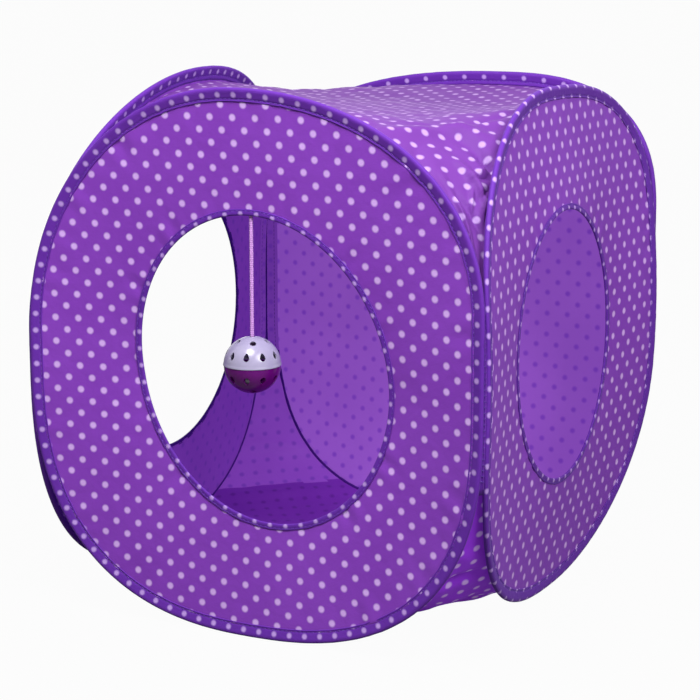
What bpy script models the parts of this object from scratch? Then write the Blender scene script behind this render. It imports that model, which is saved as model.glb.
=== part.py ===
"""Pop-up play cube for a cat: four cloth sides on sprung wire loops, a cloth top and floor, a ball on a cord.

The cube stands on its floor cloth and its four loops, +Z up, with its front panel facing -Y and the middle of
the floor's underside at the origin. All four loops share one outline, so each piece of a side is made once for
the front and turned about the cube's middle for the other three.
"""

import math

import bmesh
import bpy
from mathutils import Matrix, Vector

# Loops: an upright straight run on each side, joined by rounded corners
LOOP_WIDTH = 0.364
LOOP_HEIGHT = 0.400
SIDE_RUN = 0.144
SIDE_STEPS = 4
CORNER_POWER = 2.12
CORNER_STEPS = 8

# Wire inside each loop, and the crimped sleeve that joins its two ends
WIRE_RADIUS = 0.001
WIRE_END_GAP = 0.001
FERRULE_LENGTH = 0.014
FERRULE_WALL = 0.0004
FERRULE_FIT = 0.0001
FERRULE_SIDES = 12

# Cloth and tape
CLOTH = 0.0008
TAPE = 0.0005
CLEARANCE = 0.0003
BINDING_REACH = 0.009
BINDING_SWELL_RUN = 0.003
FRONT_DISH = 0.008
SIDE_DISH = 0.0065
SIDE_DISH_BACK = 0.009
DISH_SHARES = (0.0, 0.26, 0.74, 1.0)
CLOTH_MARGIN = 0.001

# Entry holes in the front, left and right panels
HOLE_WIDTH = 0.204
HOLE_HEIGHT = 0.222
HOLE_BINDING_REACH = 0.0045

# Seams that join neighbouring loops along their straight runs
SEAM_RADIUS = 0.0006
SEAM_SETBACK = 0.001
SEAM_SIDES = 8

# Top and floor cloth
CLOTH_EDGE_GAP = 0.0006
TOP_DROP = 0.0074
TOP_SAG = 0.007
SAG_RUN = 0.11
MIDDLE_RING_SHARES = (0.65, 0.35)
RULING_STEPS = 6
FOLD_DEPTH = 0.007
FLOOR_FOLD_SHARES = (0.0, 0.35, 1.0, 0.3, 0.95, 0.25, 0.7, 0.15, 0.0)
TOP_FOLD_SHARES = (0.0, 0.4, 0.7, 0.0, 0.0, 0.9, 0.25, 0.6, 0.0)

# Ball on a cord in the front hole
BALL_RADIUS = 0.0206
BALL_DROP = 0.107
BALL_WALL = 0.0012
BALL_LIP = 0.0007
LOWER_HALF_STEP = 0.0002
SLOT_COUNT = 10
SLOT_WIDTH = 0.0048
SLOT_TIP_WIDTH = 0.0016
CORD_RADIUS = 0.0014
CORD_HOLE_RADIUS = 0.0021
CORD_ROOT = 0.008
CORD_TAIL = 0.005
CORD_POINT_STEP = 0.007
CORD_TIP_SHARE = 0.35
CORD_TIP_GAP = 0.0003
KNOT_RADIUS = 0.0032
TACK_WIDTH = 0.0075
TACK_STITCH = 0.0011
TACK_HEIGHT = 0.0018
BELL_RADIUS = 0.006
BELL_WALL = 0.0006
BELL_SLOT = 0.0014
PELLET_RADIUS = 0.0016
CUT_OVERRUN = 0.001

# Latitudes of the ball's rings in degrees, from the rim to the pole
RIM_LATITUDE = 6
SLOT_FOOT_LATITUDE = 17
SLOT_TIP_LATITUDE = 35
PORT_FOOT_LATITUDE = 48
PORT_MIDDLE_LATITUDE = 56
PORT_TIP_LATITUDE = 64
LOWER_CROWN_LATITUDE = 58

# Edges turned by more degrees than this stay crisp
SHARP_ANGLE = 40

# Values that follow from the sizes above
CAVITY = WIRE_RADIUS + CLEARANCE
BEAD = CAVITY + TAPE
SLOT = CLOTH / 2 + CLEARANCE
MIDDLE = LOOP_HEIGHT / 2
HALF_RUN = SIDE_RUN / 2
WIRE_HALF_WIDTH = LOOP_WIDTH / 2 - BEAD
WIRE_HALF_HEIGHT = LOOP_HEIGHT / 2 - BEAD
SEAM_STEP = (BEAD + CLEARANCE + SEAM_RADIUS) / math.sqrt(2)
PIVOT = WIRE_HALF_WIDTH + SEAM_STEP
PLANE = PIVOT + SEAM_STEP
FLOOR_DROP = BEAD - CLOTH / 2
HOLE_TOP = MIDDLE + HOLE_HEIGHT / 2

# Quarter turns of each side about the cube's middle, counted from the front
QUARTER_TURNS = {"front": 0, "right": 1, "back": 2, "left": 3}

PURPLE_CLOTH = (0.29, 0.065, 0.56, 1.0)
PURPLE_TAPE = (0.12, 0.03, 0.34, 1.0)
TOP_CLOTH = (0.36, 0.12, 0.72, 1.0)
LILAC_CORD = (0.62, 0.32, 0.68, 1.0)
WHITE_PLASTIC = (0.72, 0.68, 0.82, 1.0)
MAGENTA_PLASTIC = (0.11, 0.002, 0.13, 1.0)
STEEL = (0.45, 0.45, 0.47, 1.0)


def clear_scene():
    for thing in list(bpy.data.objects):
        bpy.data.objects.remove(thing, do_unlink=True)


def material(name, colour, roughness, metallic=0.0):
    made = bpy.data.materials.new(name)
    made.use_nodes = True
    shader = made.node_tree.nodes["Principled BSDF"]
    shader.inputs["Base Color"].default_value = colour
    shader.inputs["Roughness"].default_value = roughness
    shader.inputs["Metallic"].default_value = metallic
    return made


def add_object(name, data, finish, parent=None, turn=0):
    """Links a mesh or curve as a named piece, turned by whole quarters about the cube's middle."""
    made = bpy.data.objects.new(name, data)
    bpy.context.collection.objects.link(made)
    data.materials.append(material(name + "_finish", *finish))
    if made.type == "MESH":
        data.shade_smooth()
        data.set_sharp_from_angle(angle=math.radians(SHARP_ANGLE))
    made.rotation_euler.z = turn * math.pi / 2
    if parent:
        made.parent = parent
        made.location = -parent.matrix_world.translation
    return made


def mesh_from(name, points, faces):
    mesh = bpy.data.meshes.new(name)
    mesh.from_pydata([tuple(point) for point in points], [], faces)
    form = bmesh.new()
    form.from_mesh(mesh)
    bmesh.ops.recalc_face_normals(form, faces=form.faces)
    form.to_mesh(mesh)
    form.free()
    return mesh


def thicken(made, thickness, offset):
    """Gives an open cloth or shell surface its wall; offset -1 grows inwards, 0 both ways."""
    wall = made.modifiers.new("wall", "SOLIDIFY")
    wall.thickness = thickness
    wall.offset = offset
    wall.use_even_offset = True


def offset(outline, distance):
    """The outline moved inwards by a distance, with mitred corners; a negative distance moves it outwards."""
    moved = []
    for index, point in enumerate(outline):
        before = (point - outline[index - 1]).normalized()
        after = (outline[(index + 1) % len(outline)] - point).normalized()
        left_before = Vector((-before.y, before.x))
        left_after = Vector((-after.y, after.x))
        mitre = (left_before + left_after) / (1 + left_before.dot(left_after))
        moved.append(point + mitre * distance)
    return moved


def station(outline, place):
    """A point on the outline at a whole or fractional station."""
    whole = math.floor(place)
    first = outline[whole % len(outline)]
    second = outline[(whole + 1) % len(outline)]
    return first.lerp(second, place - whole)


def corner_arc():
    """Wire points of one upper corner, from the end of the straight run up to the top's middle."""
    rise = WIRE_HALF_HEIGHT - HALF_RUN
    power = 2 / CORNER_POWER
    points = []
    for step in range(CORNER_STEPS + 1):
        angle = step / CORNER_STEPS * math.pi / 2
        across = WIRE_HALF_WIDTH * max(math.cos(angle), 0) ** power
        up = HALF_RUN + rise * math.sin(angle) ** power
        points.append(Vector((0 if step == CORNER_STEPS else across, up)))
    return points


def loop_outline():
    """The wire's centre line round one panel, anticlockwise from the right-hand run's top."""
    arc = corner_arc()
    top_left = [Vector((-point.x, point.y)) for point in reversed(arc[:-1])]
    foot_left = [Vector((-point.x, -point.y)) for point in arc]
    foot_right = [Vector((point.x, -point.y)) for point in reversed(arc[:-1])]
    levels = [HALF_RUN * (2 * step / SIDE_STEPS - 1) for step in range(1, SIDE_STEPS)]
    right_run = [Vector((WIRE_HALF_WIDTH, level)) for level in levels]
    left_run = [Vector((-WIRE_HALF_WIDTH, -level)) for level in levels]
    return arc + top_left + left_run + foot_left + foot_right + right_run


LOOP = loop_outline()
# The wire's ends meet halfway along the second facet left of the foot's middle
WIRE_JOINT = 3 * CORNER_STEPS + SIDE_STEPS - 1.5


def hole_outline():
    """The rim of an entry hole, with one point beside each point of the loop."""
    points = []
    for point in LOOP:
        angle = math.atan2(point.y / WIRE_HALF_HEIGHT, point.x / WIRE_HALF_WIDTH)
        points.append(Vector((HOLE_WIDTH / 2 * math.cos(angle), HOLE_HEIGHT / 2 * math.sin(angle))))
    return points


HOLE = hole_outline()


def joint_facet():
    """Both ends of the facet that holds the wire's joint."""
    return LOOP[math.floor(WIRE_JOINT)], LOOP[math.floor(WIRE_JOINT) + 1]


def stations_from_joint(distance):
    first, second = joint_facet()
    return distance / (second - first).length


def on_front(point, out=0.0):
    """A point of the front side's upright plane, moved outwards from it."""
    return Vector((point.x, -PLANE - out, MIDDLE + point.y))


def ring_faces(rings, around, closed):
    """Quads between neighbouring rings of points, and from the last ring to the first if closed."""
    faces = []
    for ring in range(rings if closed else rings - 1):
        for step in range(around):
            near = ring * around
            far = (ring + 1) % rings * around
            after = (step + 1) % around
            faces.append((near + step, near + after, far + after, far + step))
    return faces


def channel(name, outline, places, section, depths=None):
    """A tape channel: a section of (inwards, outwards) points carried along the outline.

    Depths, one to a whole place, set the channel back from the loop's plane.
    """
    points = []
    for place in places:
        depth = depths[place] if depths else 0.0
        for inwards, outwards in section(place):
            points.append(on_front(station(offset(outline, inwards), place), outwards - depth))
    return mesh_from(name, points, ring_faces(len(places), len(section(places[0])), True))


def bead_section(swell):
    """Cross-section of a loop's tape: a bead round the wire, then two lips with the cloth between them."""
    outer = BEAD + swell
    inner = CAVITY + swell
    half = [
        (-outer, outer / 2),
        (-outer / 3, outer),
        (BINDING_REACH, SLOT + TAPE),
        (BINDING_REACH, SLOT),
        (max(inner, CAVITY), SLOT),
        (inner / 3, inner),
        (-inner / 3, inner),
        (-inner, inner / 2),
    ]
    return half + [(inwards, -outwards) for inwards, outwards in reversed(half)]


def loop_binding(side):
    """The tape round a loop, which swells over the ferrule."""
    swell = WIRE_RADIUS + FERRULE_FIT + FERRULE_WALL + CLEARANCE - CAVITY
    near = stations_from_joint(FERRULE_LENGTH / 2 + TAPE)
    far = stations_from_joint(FERRULE_LENGTH / 2 + TAPE + BINDING_SWELL_RUN)
    swollen = [WIRE_JOINT - near, WIRE_JOINT + near]
    places = sorted(list(range(len(LOOP))) + swollen + [WIRE_JOINT - far, WIRE_JOINT + far])

    def section(place):
        return bead_section(swell if place in swollen else 0.0)

    return channel(side + "_binding", LOOP, places, section)


def rim_depths(dish):
    """How deep an entry's rim lies behind the loop's plane, point by point.

    The dish holds the depths at the rim's left end, at its top and foot, and at its right end.
    """
    left, middle, right = dish
    depths = []
    for point in HOLE:
        share = min(abs(point.x) / (HOLE_WIDTH / 2), 1)
        end = left if point.x < 0 else right
        depths.append(middle + (end - middle) * share)
    return depths


def hole_binding(side, dish):
    """The narrower tape folded over the rim of an entry hole."""
    lip = SLOT + TAPE
    half = [
        (0.0, lip / 2),
        (-TAPE, lip),
        (-HOLE_BINDING_REACH, lip),
        (-HOLE_BINDING_REACH, SLOT),
        (-TAPE, SLOT),
    ]
    whole = half + [(inwards, -outwards) for inwards, outwards in reversed(half)]
    places = list(range(len(HOLE)))
    return channel(side + "_hole_binding", HOLE, places, lambda place: whole, rim_depths(dish))


def panel_rows(inner_rows, dish):
    """Rows of panel points from inside the loop's tape towards the middle, dished inwards on the way."""
    depths = rim_depths(dish)
    mouth = offset(LOOP, BINDING_REACH + CLOTH_MARGIN)
    target = inner_rows[0]
    rows = [[on_front(point) for point in offset(LOOP, CAVITY + CLEARANCE)]]
    last = len(DISH_SHARES) - 1
    for step, share in enumerate(DISH_SHARES):
        between = [start.lerp(end, step / last) for start, end in zip(mouth, target)]
        rows.append([on_front(point, -depth * share) for point, depth in zip(between, depths)])
    for row in inner_rows[1:]:
        rows.append([on_front(point, -depth) for point, depth in zip(row, depths)])
    return rows


def holed_panel(side, dish):
    around_hole = offset(HOLE, -HOLE_BINDING_REACH - CLOTH_MARGIN)
    rows = panel_rows([around_hole, offset(HOLE, -TAPE - CLEARANCE)], dish)
    points = [point for row in rows for point in row]
    return mesh_from(side + "_panel", points, ring_faces(len(rows), len(LOOP), False))


def whole_panel(side, dish):
    """The back panel: the same rows, closed by a fan at its middle."""
    around = offset(HOLE, -HOLE_BINDING_REACH - CLOTH_MARGIN)
    rows = panel_rows([around], dish)
    points = [point for row in rows for point in row]
    faces = ring_faces(len(rows), len(LOOP), False)
    points.append(on_front(Vector((0, 0)), -dish[1]))
    start = (len(rows) - 1) * len(LOOP)
    for step in range(len(LOOP)):
        faces.append((start + step, start + (step + 1) % len(LOOP), len(points) - 1))
    return mesh_from(side + "_panel", points, faces)


def tube(name, points, radius, resolution, rounded=False):
    """A round tube through the points, with filled ends; rounded ends narrow over their last radius."""
    curve = bpy.data.curves.new(name, "CURVE")
    curve.dimensions = "3D"
    curve.bevel_depth = radius
    curve.bevel_resolution = resolution
    curve.use_fill_caps = True
    spline = curve.splines.new("POLY")
    spline.points.add(len(points) - 1)
    for target, point in zip(spline.points, points):
        target.co = (*point, 1.0)
    if rounded:
        for end in (0, -1):
            spline.points[end].radius = CORD_TIP_SHARE
    return curve


def loop_wire(side):
    """One sprung wire, from one side of its joint round to the other."""
    first = WIRE_JOINT + stations_from_joint(WIRE_END_GAP / 2)
    last = WIRE_JOINT - stations_from_joint(WIRE_END_GAP / 2) + len(LOOP)
    places = [first] + list(range(math.ceil(first), math.floor(last) + 1)) + [last]
    return tube(side + "_wire", [on_front(station(LOOP, place)) for place in places], WIRE_RADIUS, 1)


def ferrule(side):
    """A straight sleeve over the wire's two ends."""
    first, second = (on_front(point) for point in joint_facet())
    along = (second - first).normalized()
    middle = first.lerp(second, WIRE_JOINT % 1)
    bore = WIRE_RADIUS + FERRULE_FIT
    profile = [
        (bore, -FERRULE_LENGTH / 2),
        (bore + FERRULE_WALL, -FERRULE_LENGTH / 2),
        (bore + FERRULE_WALL, FERRULE_LENGTH / 2),
        (bore, FERRULE_LENGTH / 2),
    ]
    turned = along.to_track_quat("Z", "Y").to_matrix().to_4x4()
    place = Matrix.Translation(middle) @ turned
    points = []
    for step in range(FERRULE_SIDES):
        angle = step / FERRULE_SIDES * math.tau
        for radius, length in profile:
            points.append(place @ Vector((radius * math.cos(angle), radius * math.sin(angle), length)))
    return mesh_from(side + "_ferrule", points, ring_faces(FERRULE_SIDES, len(profile), True))


def sagged(point, upwards, sag):
    """A cover's point, sunk by the sag of cloth that only its edges hold up."""
    inside = PLANE - max(abs(point.x), abs(point.y))
    share = min(max(inside / SAG_RUN, 0), 1)
    return point - Vector((0, 0, upwards * sag * share * share * (3 - 2 * share)))


def covering_cloth(name, upwards, lowered, drop, sag, fold_shares):
    """Top or floor cloth: a middle that may sag, and in each corner lines from loop to loop.

    The lines step along the rounded corners to the seam, and draw inwards as folds between the loops.
    The drop is how far inside the wire the cloth is sewn to the tapes, all along but at the upright seam.
    """
    bead_edge = PLANE - BEAD - CLOTH_EDGE_GAP
    lip_edge = PLANE - SLOT - TAPE - CLOTH_EDGE_GAP
    arc = LOOP[:1] + offset(LOOP, drop)[1 : CORNER_STEPS + 1]
    inwards = Vector((-1, 1, -upwards)).normalized()
    points = []
    faces = []
    middle = []
    for quarter in range(4):
        turn = Matrix.Rotation(quarter * math.pi / 2, 3, "Z")
        start = len(points)
        for row, place in enumerate(arc):
            level = MIDDLE + upwards * place.y - lowered
            edge = lip_edge if drop and row else bead_edge
            near = Vector((place.x, -edge, level))
            far = Vector((edge, -place.x, level))
            fold = inwards * FOLD_DEPTH * fold_shares[row]
            for step in range(RULING_STEPS + 1):
                across = step / RULING_STEPS
                drawn = math.sin(math.pi * across) ** 2
                points.append(sagged(turn @ (near.lerp(far, across) + fold * drawn), upwards, sag))
        width = RULING_STEPS + 1
        for row in range(len(arc) - 1):
            for step in range(RULING_STEPS):
                corner = start + row * width + step
                faces.append((corner, corner + 1, corner + width + 1, corner + width))
        last = start + (len(arc) - 1) * width
        middle += list(range(last, last + RULING_STEPS))
    rings = [middle]
    for share in MIDDLE_RING_SHARES if sag else ():
        first = len(points)
        for index in middle:
            drawn_in = Vector((points[index].x * share, points[index].y * share, level))
            points.append(sagged(drawn_in, upwards, sag))
        rings.append(list(range(first, len(points))))
    for outer, inner in zip(rings, rings[1:]):
        for step in range(len(outer)):
            after = (step + 1) % len(outer)
            faces.append((outer[step], outer[after], inner[after], inner[step]))
    faces.append(tuple(rings[-1]))
    # Each corner's last line ends where the next one's starts
    for quarter in range(4):
        per_corner = len(arc) * (RULING_STEPS + 1)
        end = (quarter + 1) * per_corner - 1
        begin = ((quarter + 1) % 4 + 1) * per_corner - RULING_STEPS - 1
        faces = [tuple(begin if index == end else index for index in face) for face in faces]
    mesh = mesh_from(name, points, faces)
    form = bmesh.new()
    form.from_mesh(mesh)
    loose = [vertex for vertex in form.verts if not vertex.link_faces]
    bmesh.ops.delete(form, geom=loose, context="VERTS")
    form.to_mesh(mesh)
    form.free()
    return mesh


def seam(name, along_x, along_y, finish, parent):
    """A round bead of stitching on the line where two loops meet."""
    form = bmesh.new()
    bmesh.ops.create_cone(
        form,
        cap_ends=True,
        segments=SEAM_SIDES,
        radius1=SEAM_RADIUS,
        radius2=SEAM_RADIUS,
        depth=SIDE_RUN - 2 * SEAM_SETBACK,
        matrix=Matrix.Translation((along_x * PIVOT, along_y * PIVOT, MIDDLE)),
    )
    mesh = bpy.data.meshes.new(name)
    form.to_mesh(mesh)
    form.free()
    return add_object(name, mesh, finish, parent)


def ball_point(radius, latitude, longitude):
    level = radius * math.cos(latitude)
    return Vector((level * math.cos(longitude), level * math.sin(longitude), radius * math.sin(latitude)))


def shell_half(name, rows, downwards, ports, closed_pole):
    """Half a ball as an open surface of rows (latitude, radius, slot width there), with its windows left out.

    Each slot is the cell between two columns, and each port is the diamond round the column between slots.
    """
    pitch = math.tau / SLOT_COUNT
    points = []
    for latitude, radius, width in rows:
        level = radius * math.cos(latitude)
        half = width / 2 / level
        for slot in range(SLOT_COUNT):
            for turn in (-half, half, pitch / 2):
                point = ball_point(radius, latitude, slot * pitch + turn)
                points.append(Vector((point.x, point.y, -point.z if downwards else point.z)))
    around = 3 * SLOT_COUNT
    faces = []
    slot_row = 2
    port_row = 4
    for row in range(len(rows) - 1):
        for step in range(around):
            after = (step + 1) % around
            low, low_after = row * around + step, row * around + after
            high, high_after = low + around, low_after + around
            if row == slot_row and step % 3 == 0:
                continue
            # The ports stand over every second space between slots
            left_of_port = ports and step % 6 == 1
            right_of_port = ports and step % 6 == 2
            if row == port_row and left_of_port:
                faces.append((low, low_after, high))
            elif row == port_row and right_of_port:
                faces.append((low, low_after, high_after))
            elif row == port_row + 1 and left_of_port:
                faces.append((low, high_after, high))
            elif row == port_row + 1 and right_of_port:
                faces.append((low_after, high_after, high))
            else:
                faces.append((low, low_after, high_after, high))
    if closed_pole:
        faces.append(tuple((len(rows) - 1) * around + step for step in range(around)))
    return mesh_from(name, points, faces)


def ball_rows(latitudes, radius, rim_radius):
    """Rows for a half ball: a plain rim, then the latitudes given, with the slots in the third band."""
    rows = [(math.asin(CLEARANCE / 2 / rim_radius), rim_radius, SLOT_WIDTH)]
    rows.append((math.radians(RIM_LATITUDE), rim_radius, SLOT_WIDTH))
    for latitude in latitudes:
        # Above its slots the columns keep an even spacing
        even = math.tau / SLOT_COUNT / 3 * radius * math.cos(math.radians(latitude))
        width = {SLOT_FOOT_LATITUDE: SLOT_WIDTH, SLOT_TIP_LATITUDE: SLOT_TIP_WIDTH}.get(latitude, even)
        rows.append((math.radians(latitude), radius, width))
    return rows


def ball_upper():
    latitudes = [
        SLOT_FOOT_LATITUDE,
        SLOT_TIP_LATITUDE,
        PORT_FOOT_LATITUDE,
        PORT_MIDDLE_LATITUDE,
        PORT_TIP_LATITUDE,
    ]
    rows = ball_rows(latitudes, BALL_RADIUS, BALL_RADIUS + BALL_LIP)
    pole = math.acos(CORD_HOLE_RADIUS / BALL_RADIUS)
    rows.append((pole, BALL_RADIUS, math.tau / SLOT_COUNT / 3 * CORD_HOLE_RADIUS))
    return shell_half("ball_upper", rows, False, True, False)


def ball_lower():
    radius = BALL_RADIUS - LOWER_HALF_STEP
    latitudes = [SLOT_FOOT_LATITUDE, SLOT_TIP_LATITUDE, LOWER_CROWN_LATITUDE]
    rows = ball_rows(latitudes, radius, radius)
    cap = math.acos(CORD_HOLE_RADIUS / radius)
    rows.append((cap, radius, math.tau / SLOT_COUNT / 3 * CORD_HOLE_RADIUS))
    return shell_half("ball_lower", rows, True, False, True)


def round_mesh(name, radius, around, rings):
    form = bmesh.new()
    bmesh.ops.create_uvsphere(form, u_segments=around, v_segments=rings, radius=radius)
    mesh = bpy.data.meshes.new(name)
    form.to_mesh(mesh)
    form.free()
    return mesh


def tack_mesh(name, depth):
    """A bar of stitches over the cord, with a leg down to the tape on each side of it."""
    half = TACK_WIDTH / 2
    step = half - TACK_STITCH
    floor = depth - TACK_STITCH
    outer = [(-half, 0), (-half, depth), (half, depth), (half, 0)]
    inner = [(step, 0), (step, floor), (-step, floor), (-step, 0)]
    form = bmesh.new()
    face = form.faces.new([form.verts.new((x, y, 0)) for x, y in outer + inner])
    raised = bmesh.ops.extrude_face_region(form, geom=[face])["geom"]
    tops = [item for item in raised if isinstance(item, bmesh.types.BMVert)]
    bmesh.ops.translate(form, verts=tops, vec=(0, 0, TACK_HEIGHT))
    bmesh.ops.recalc_face_normals(form, faces=form.faces)
    mesh = bpy.data.meshes.new(name)
    form.to_mesh(mesh)
    form.free()
    return mesh


def box_mesh(name, size):
    form = bmesh.new()
    bmesh.ops.create_cube(form, size=1, matrix=Matrix.Diagonal((*size, 1)))
    mesh = bpy.data.meshes.new(name)
    form.to_mesh(mesh)
    form.free()
    return mesh


def pivot_empty(name, x, y, z, parent=None):
    """An empty on a joint's axis, which carries the pieces that turn about it."""
    made = bpy.data.objects.new(name, None)
    bpy.context.collection.objects.link(made)
    if parent:
        made.parent = parent
        made.location = Vector((x, y, z)) - parent.matrix_world.translation
    else:
        made.location = (x, y, z)
    bpy.context.view_layer.update()
    return made


def build_side(side, parent, holed, dish=(0.0, 0.0, 0.0)):
    """Panel, wire, ferrule and tapes of one side."""
    turn = QUARTER_TURNS[side]
    cloth = (PURPLE_CLOTH, 0.85)
    tape = (PURPLE_TAPE, 0.8)
    surface = holed_panel(side, dish) if holed else whole_panel(side, dish)
    panel = add_object(side + "_panel", surface, cloth, parent, turn)
    thicken(panel, CLOTH, 0)
    add_object(side + "_wire", loop_wire(side), (STEEL, 0.35, 1.0), parent, turn)
    add_object(side + "_ferrule", ferrule(side), (STEEL, 0.3, 1.0), parent, turn)
    add_object(side + "_binding", loop_binding(side), tape, parent, turn)
    if holed:
        add_object(side + "_hole_binding", hole_binding(side, dish), tape, parent, turn)


def cord_points(top, foot, line):
    """Evenly spaced points down a hanging cord, with a short step at each end for its rounding."""
    runs = max(1, round((top - foot - 2 * CORD_RADIUS) / CORD_POINT_STEP))
    levels = [top]
    for step in range(runs + 1):
        levels.append(top - CORD_RADIUS - (top - foot - 2 * CORD_RADIUS) * step / runs)
    levels.append(foot)
    return [Vector((0, line, level)) for level in levels]


def build_toy():
    """The cord's sewn tail, its two hanging stretches, the knot, the ball and the bell inside it."""
    inner_face = FRONT_DISH - PLANE + SLOT + TAPE
    line = inner_face + CLEARANCE + CORD_RADIUS
    lilac = (LILAC_CORD, 0.7)
    root_pivot = HOLE_TOP - CORD_RADIUS
    cord_pivot = root_pivot - CORD_ROOT
    ball_middle = HOLE_TOP - BALL_DROP

    tail = [Vector((0, line, level)) for level in (HOLE_TOP + CORD_TAIL, root_pivot + 2 * CORD_RADIUS)]
    tail = tail + [Vector((0, line, root_pivot + CORD_TIP_GAP))]
    tail_tube = tube("cord_tail", tail, CORD_RADIUS, 2)
    tail_tube.splines[0].points[-1].radius = CORD_TIP_SHARE
    add_object("cord_tail", tail_tube, lilac)

    tack_depth = 2 * CORD_RADIUS + CLEARANCE + TACK_STITCH
    tack = add_object("cord_tack", tack_mesh("cord_tack", tack_depth), (PURPLE_TAPE, 0.8))
    tack.location = (0, inner_face + CLEARANCE, HOLE_TOP + CORD_TAIL / 2 - TACK_HEIGHT / 2)

    side_swing = pivot_empty("toy_side_pivot", 0, line, root_pivot)
    root = cord_points(root_pivot - CORD_TIP_GAP, cord_pivot + CORD_TIP_GAP, line)
    add_object("cord_root", tube("cord_root", root, CORD_RADIUS, 2, True), lilac, side_swing)

    fore_swing = pivot_empty("toy_fore_pivot", 0, line, cord_pivot, side_swing)
    inner_radius = BALL_RADIUS - BALL_WALL
    rim_level = math.sqrt(inner_radius**2 - CORD_HOLE_RADIUS**2)
    knot_level = rim_level - math.sqrt((KNOT_RADIUS + CLEARANCE) ** 2 - CORD_HOLE_RADIUS**2)
    knot_top = ball_middle + knot_level + KNOT_RADIUS
    hanging = cord_points(cord_pivot - CORD_TIP_GAP, knot_top + CLEARANCE, line)
    add_object("toy_cord", tube("toy_cord", hanging, CORD_RADIUS, 2, True), lilac, fore_swing)
    knot = add_object("cord_knot", round_mesh("cord_knot", KNOT_RADIUS, 10, 6), lilac, fore_swing)
    knot.location += Vector((0, line, ball_middle + knot_level))

    spin = pivot_empty("ball_spin_pivot", 0, line, ball_middle, fore_swing)
    centre = Vector((0, line, ball_middle))
    for mesh, finish in (
        (ball_upper(), (WHITE_PLASTIC, 0.2)),
        (ball_lower(), (MAGENTA_PLASTIC, 0.12)),
    ):
        half = add_object(mesh.name, mesh, finish, spin)
        half.location += centre
        thicken(half, BALL_WALL, -1)

    lower_inside = BALL_RADIUS - LOWER_HALF_STEP - BALL_WALL
    bell_level = BELL_RADIUS + CLEARANCE - lower_inside
    bell = add_object("bell", round_mesh("bell", BELL_RADIUS, 14, 8), (STEEL, 0.25, 1.0), spin)
    bell.location += centre + Vector((0, 0, bell_level))
    thicken(bell, BELL_WALL, -1)
    mouth_size = (2 * BELL_RADIUS + CUT_OVERRUN, BELL_SLOT, BELL_RADIUS + CUT_OVERRUN)
    mouth = add_object("bell_mouth_cutter", box_mesh("bell_mouth_cutter", mouth_size), (STEEL, 0.5), spin)
    mouth.location += centre + Vector((0, 0, bell_level - mouth_size[2] / 2))
    mouth.hide_render = True
    mouth.display_type = "WIRE"
    cut = bell.modifiers.new("mouth", "BOOLEAN")
    cut.object = mouth
    pellet_mesh = round_mesh("bell_pellet", PELLET_RADIUS, 8, 6)
    pellet = add_object("bell_pellet", pellet_mesh, (STEEL, 0.3, 1.0), spin)
    pellet_level = bell_level - BELL_RADIUS + BELL_WALL + CLEARANCE + PELLET_RADIUS
    pellet.location += centre + Vector((0, 0, pellet_level))


def main():
    clear_scene()
    left_hinge = pivot_empty("left_hinge", -PIVOT, -PIVOT, 0)
    right_hinge = pivot_empty("right_hinge", PIVOT, -PIVOT, 0)
    back_hinge = pivot_empty("back_hinge", -PIVOT, PIVOT, 0, left_hinge)

    build_side("front", None, True, (FRONT_DISH, FRONT_DISH, FRONT_DISH))
    build_side("left", left_hinge, True, (SIDE_DISH_BACK, SIDE_DISH, 0.0))
    build_side("right", right_hinge, True, (0.0, SIDE_DISH, SIDE_DISH_BACK))
    build_side("back", back_hinge, False)

    stitching = (PURPLE_TAPE, 0.8)
    seam("front_left_seam", -1, -1, stitching, None)
    seam("front_right_seam", 1, -1, stitching, None)
    seam("back_left_seam", -1, 1, stitching, left_hinge)
    seam("back_right_seam", 1, 1, stitching, right_hinge)

    top = covering_cloth("top_panel", 1, 0.0, TOP_DROP, TOP_SAG, TOP_FOLD_SHARES)
    floor = covering_cloth("floor_panel", -1, FLOOR_DROP, 0.0, 0.0, FLOOR_FOLD_SHARES)
    for name, surface in (("top_panel", top), ("floor_panel", floor)):
        thicken(add_object(name, surface, (TOP_CLOTH, 0.85)), CLOTH, 0)

    build_toy()


main()
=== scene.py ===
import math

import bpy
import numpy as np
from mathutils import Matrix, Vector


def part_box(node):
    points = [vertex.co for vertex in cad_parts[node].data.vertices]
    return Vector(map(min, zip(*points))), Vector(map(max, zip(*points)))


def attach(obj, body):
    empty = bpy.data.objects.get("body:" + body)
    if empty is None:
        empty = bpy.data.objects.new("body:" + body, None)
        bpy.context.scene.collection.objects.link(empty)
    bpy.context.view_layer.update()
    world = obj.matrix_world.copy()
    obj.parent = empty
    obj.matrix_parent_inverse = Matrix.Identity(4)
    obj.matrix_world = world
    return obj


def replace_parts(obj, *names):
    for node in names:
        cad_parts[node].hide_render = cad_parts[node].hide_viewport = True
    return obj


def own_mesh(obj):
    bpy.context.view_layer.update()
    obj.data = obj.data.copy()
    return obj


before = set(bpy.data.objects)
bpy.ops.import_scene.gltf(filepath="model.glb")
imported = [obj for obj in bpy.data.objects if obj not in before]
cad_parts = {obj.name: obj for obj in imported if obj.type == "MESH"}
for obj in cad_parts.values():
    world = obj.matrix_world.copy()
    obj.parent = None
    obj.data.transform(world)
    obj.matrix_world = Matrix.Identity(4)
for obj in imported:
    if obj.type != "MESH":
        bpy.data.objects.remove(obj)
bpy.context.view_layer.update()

# %% [markdown]
# A pop-up cat cube. Four rounded-square loops of spring wire, each sheathed in a sewn tape, hold four
# cloth sides. The loops are sewn to each other down their upright edges, and an unframed cloth covers
# the top and another the foot. A rattle ball hangs on a cord in the front opening. The frame that was
# loaded above holds the exact solids. Here the cloth gets its real dishes, puckers and folds.

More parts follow.
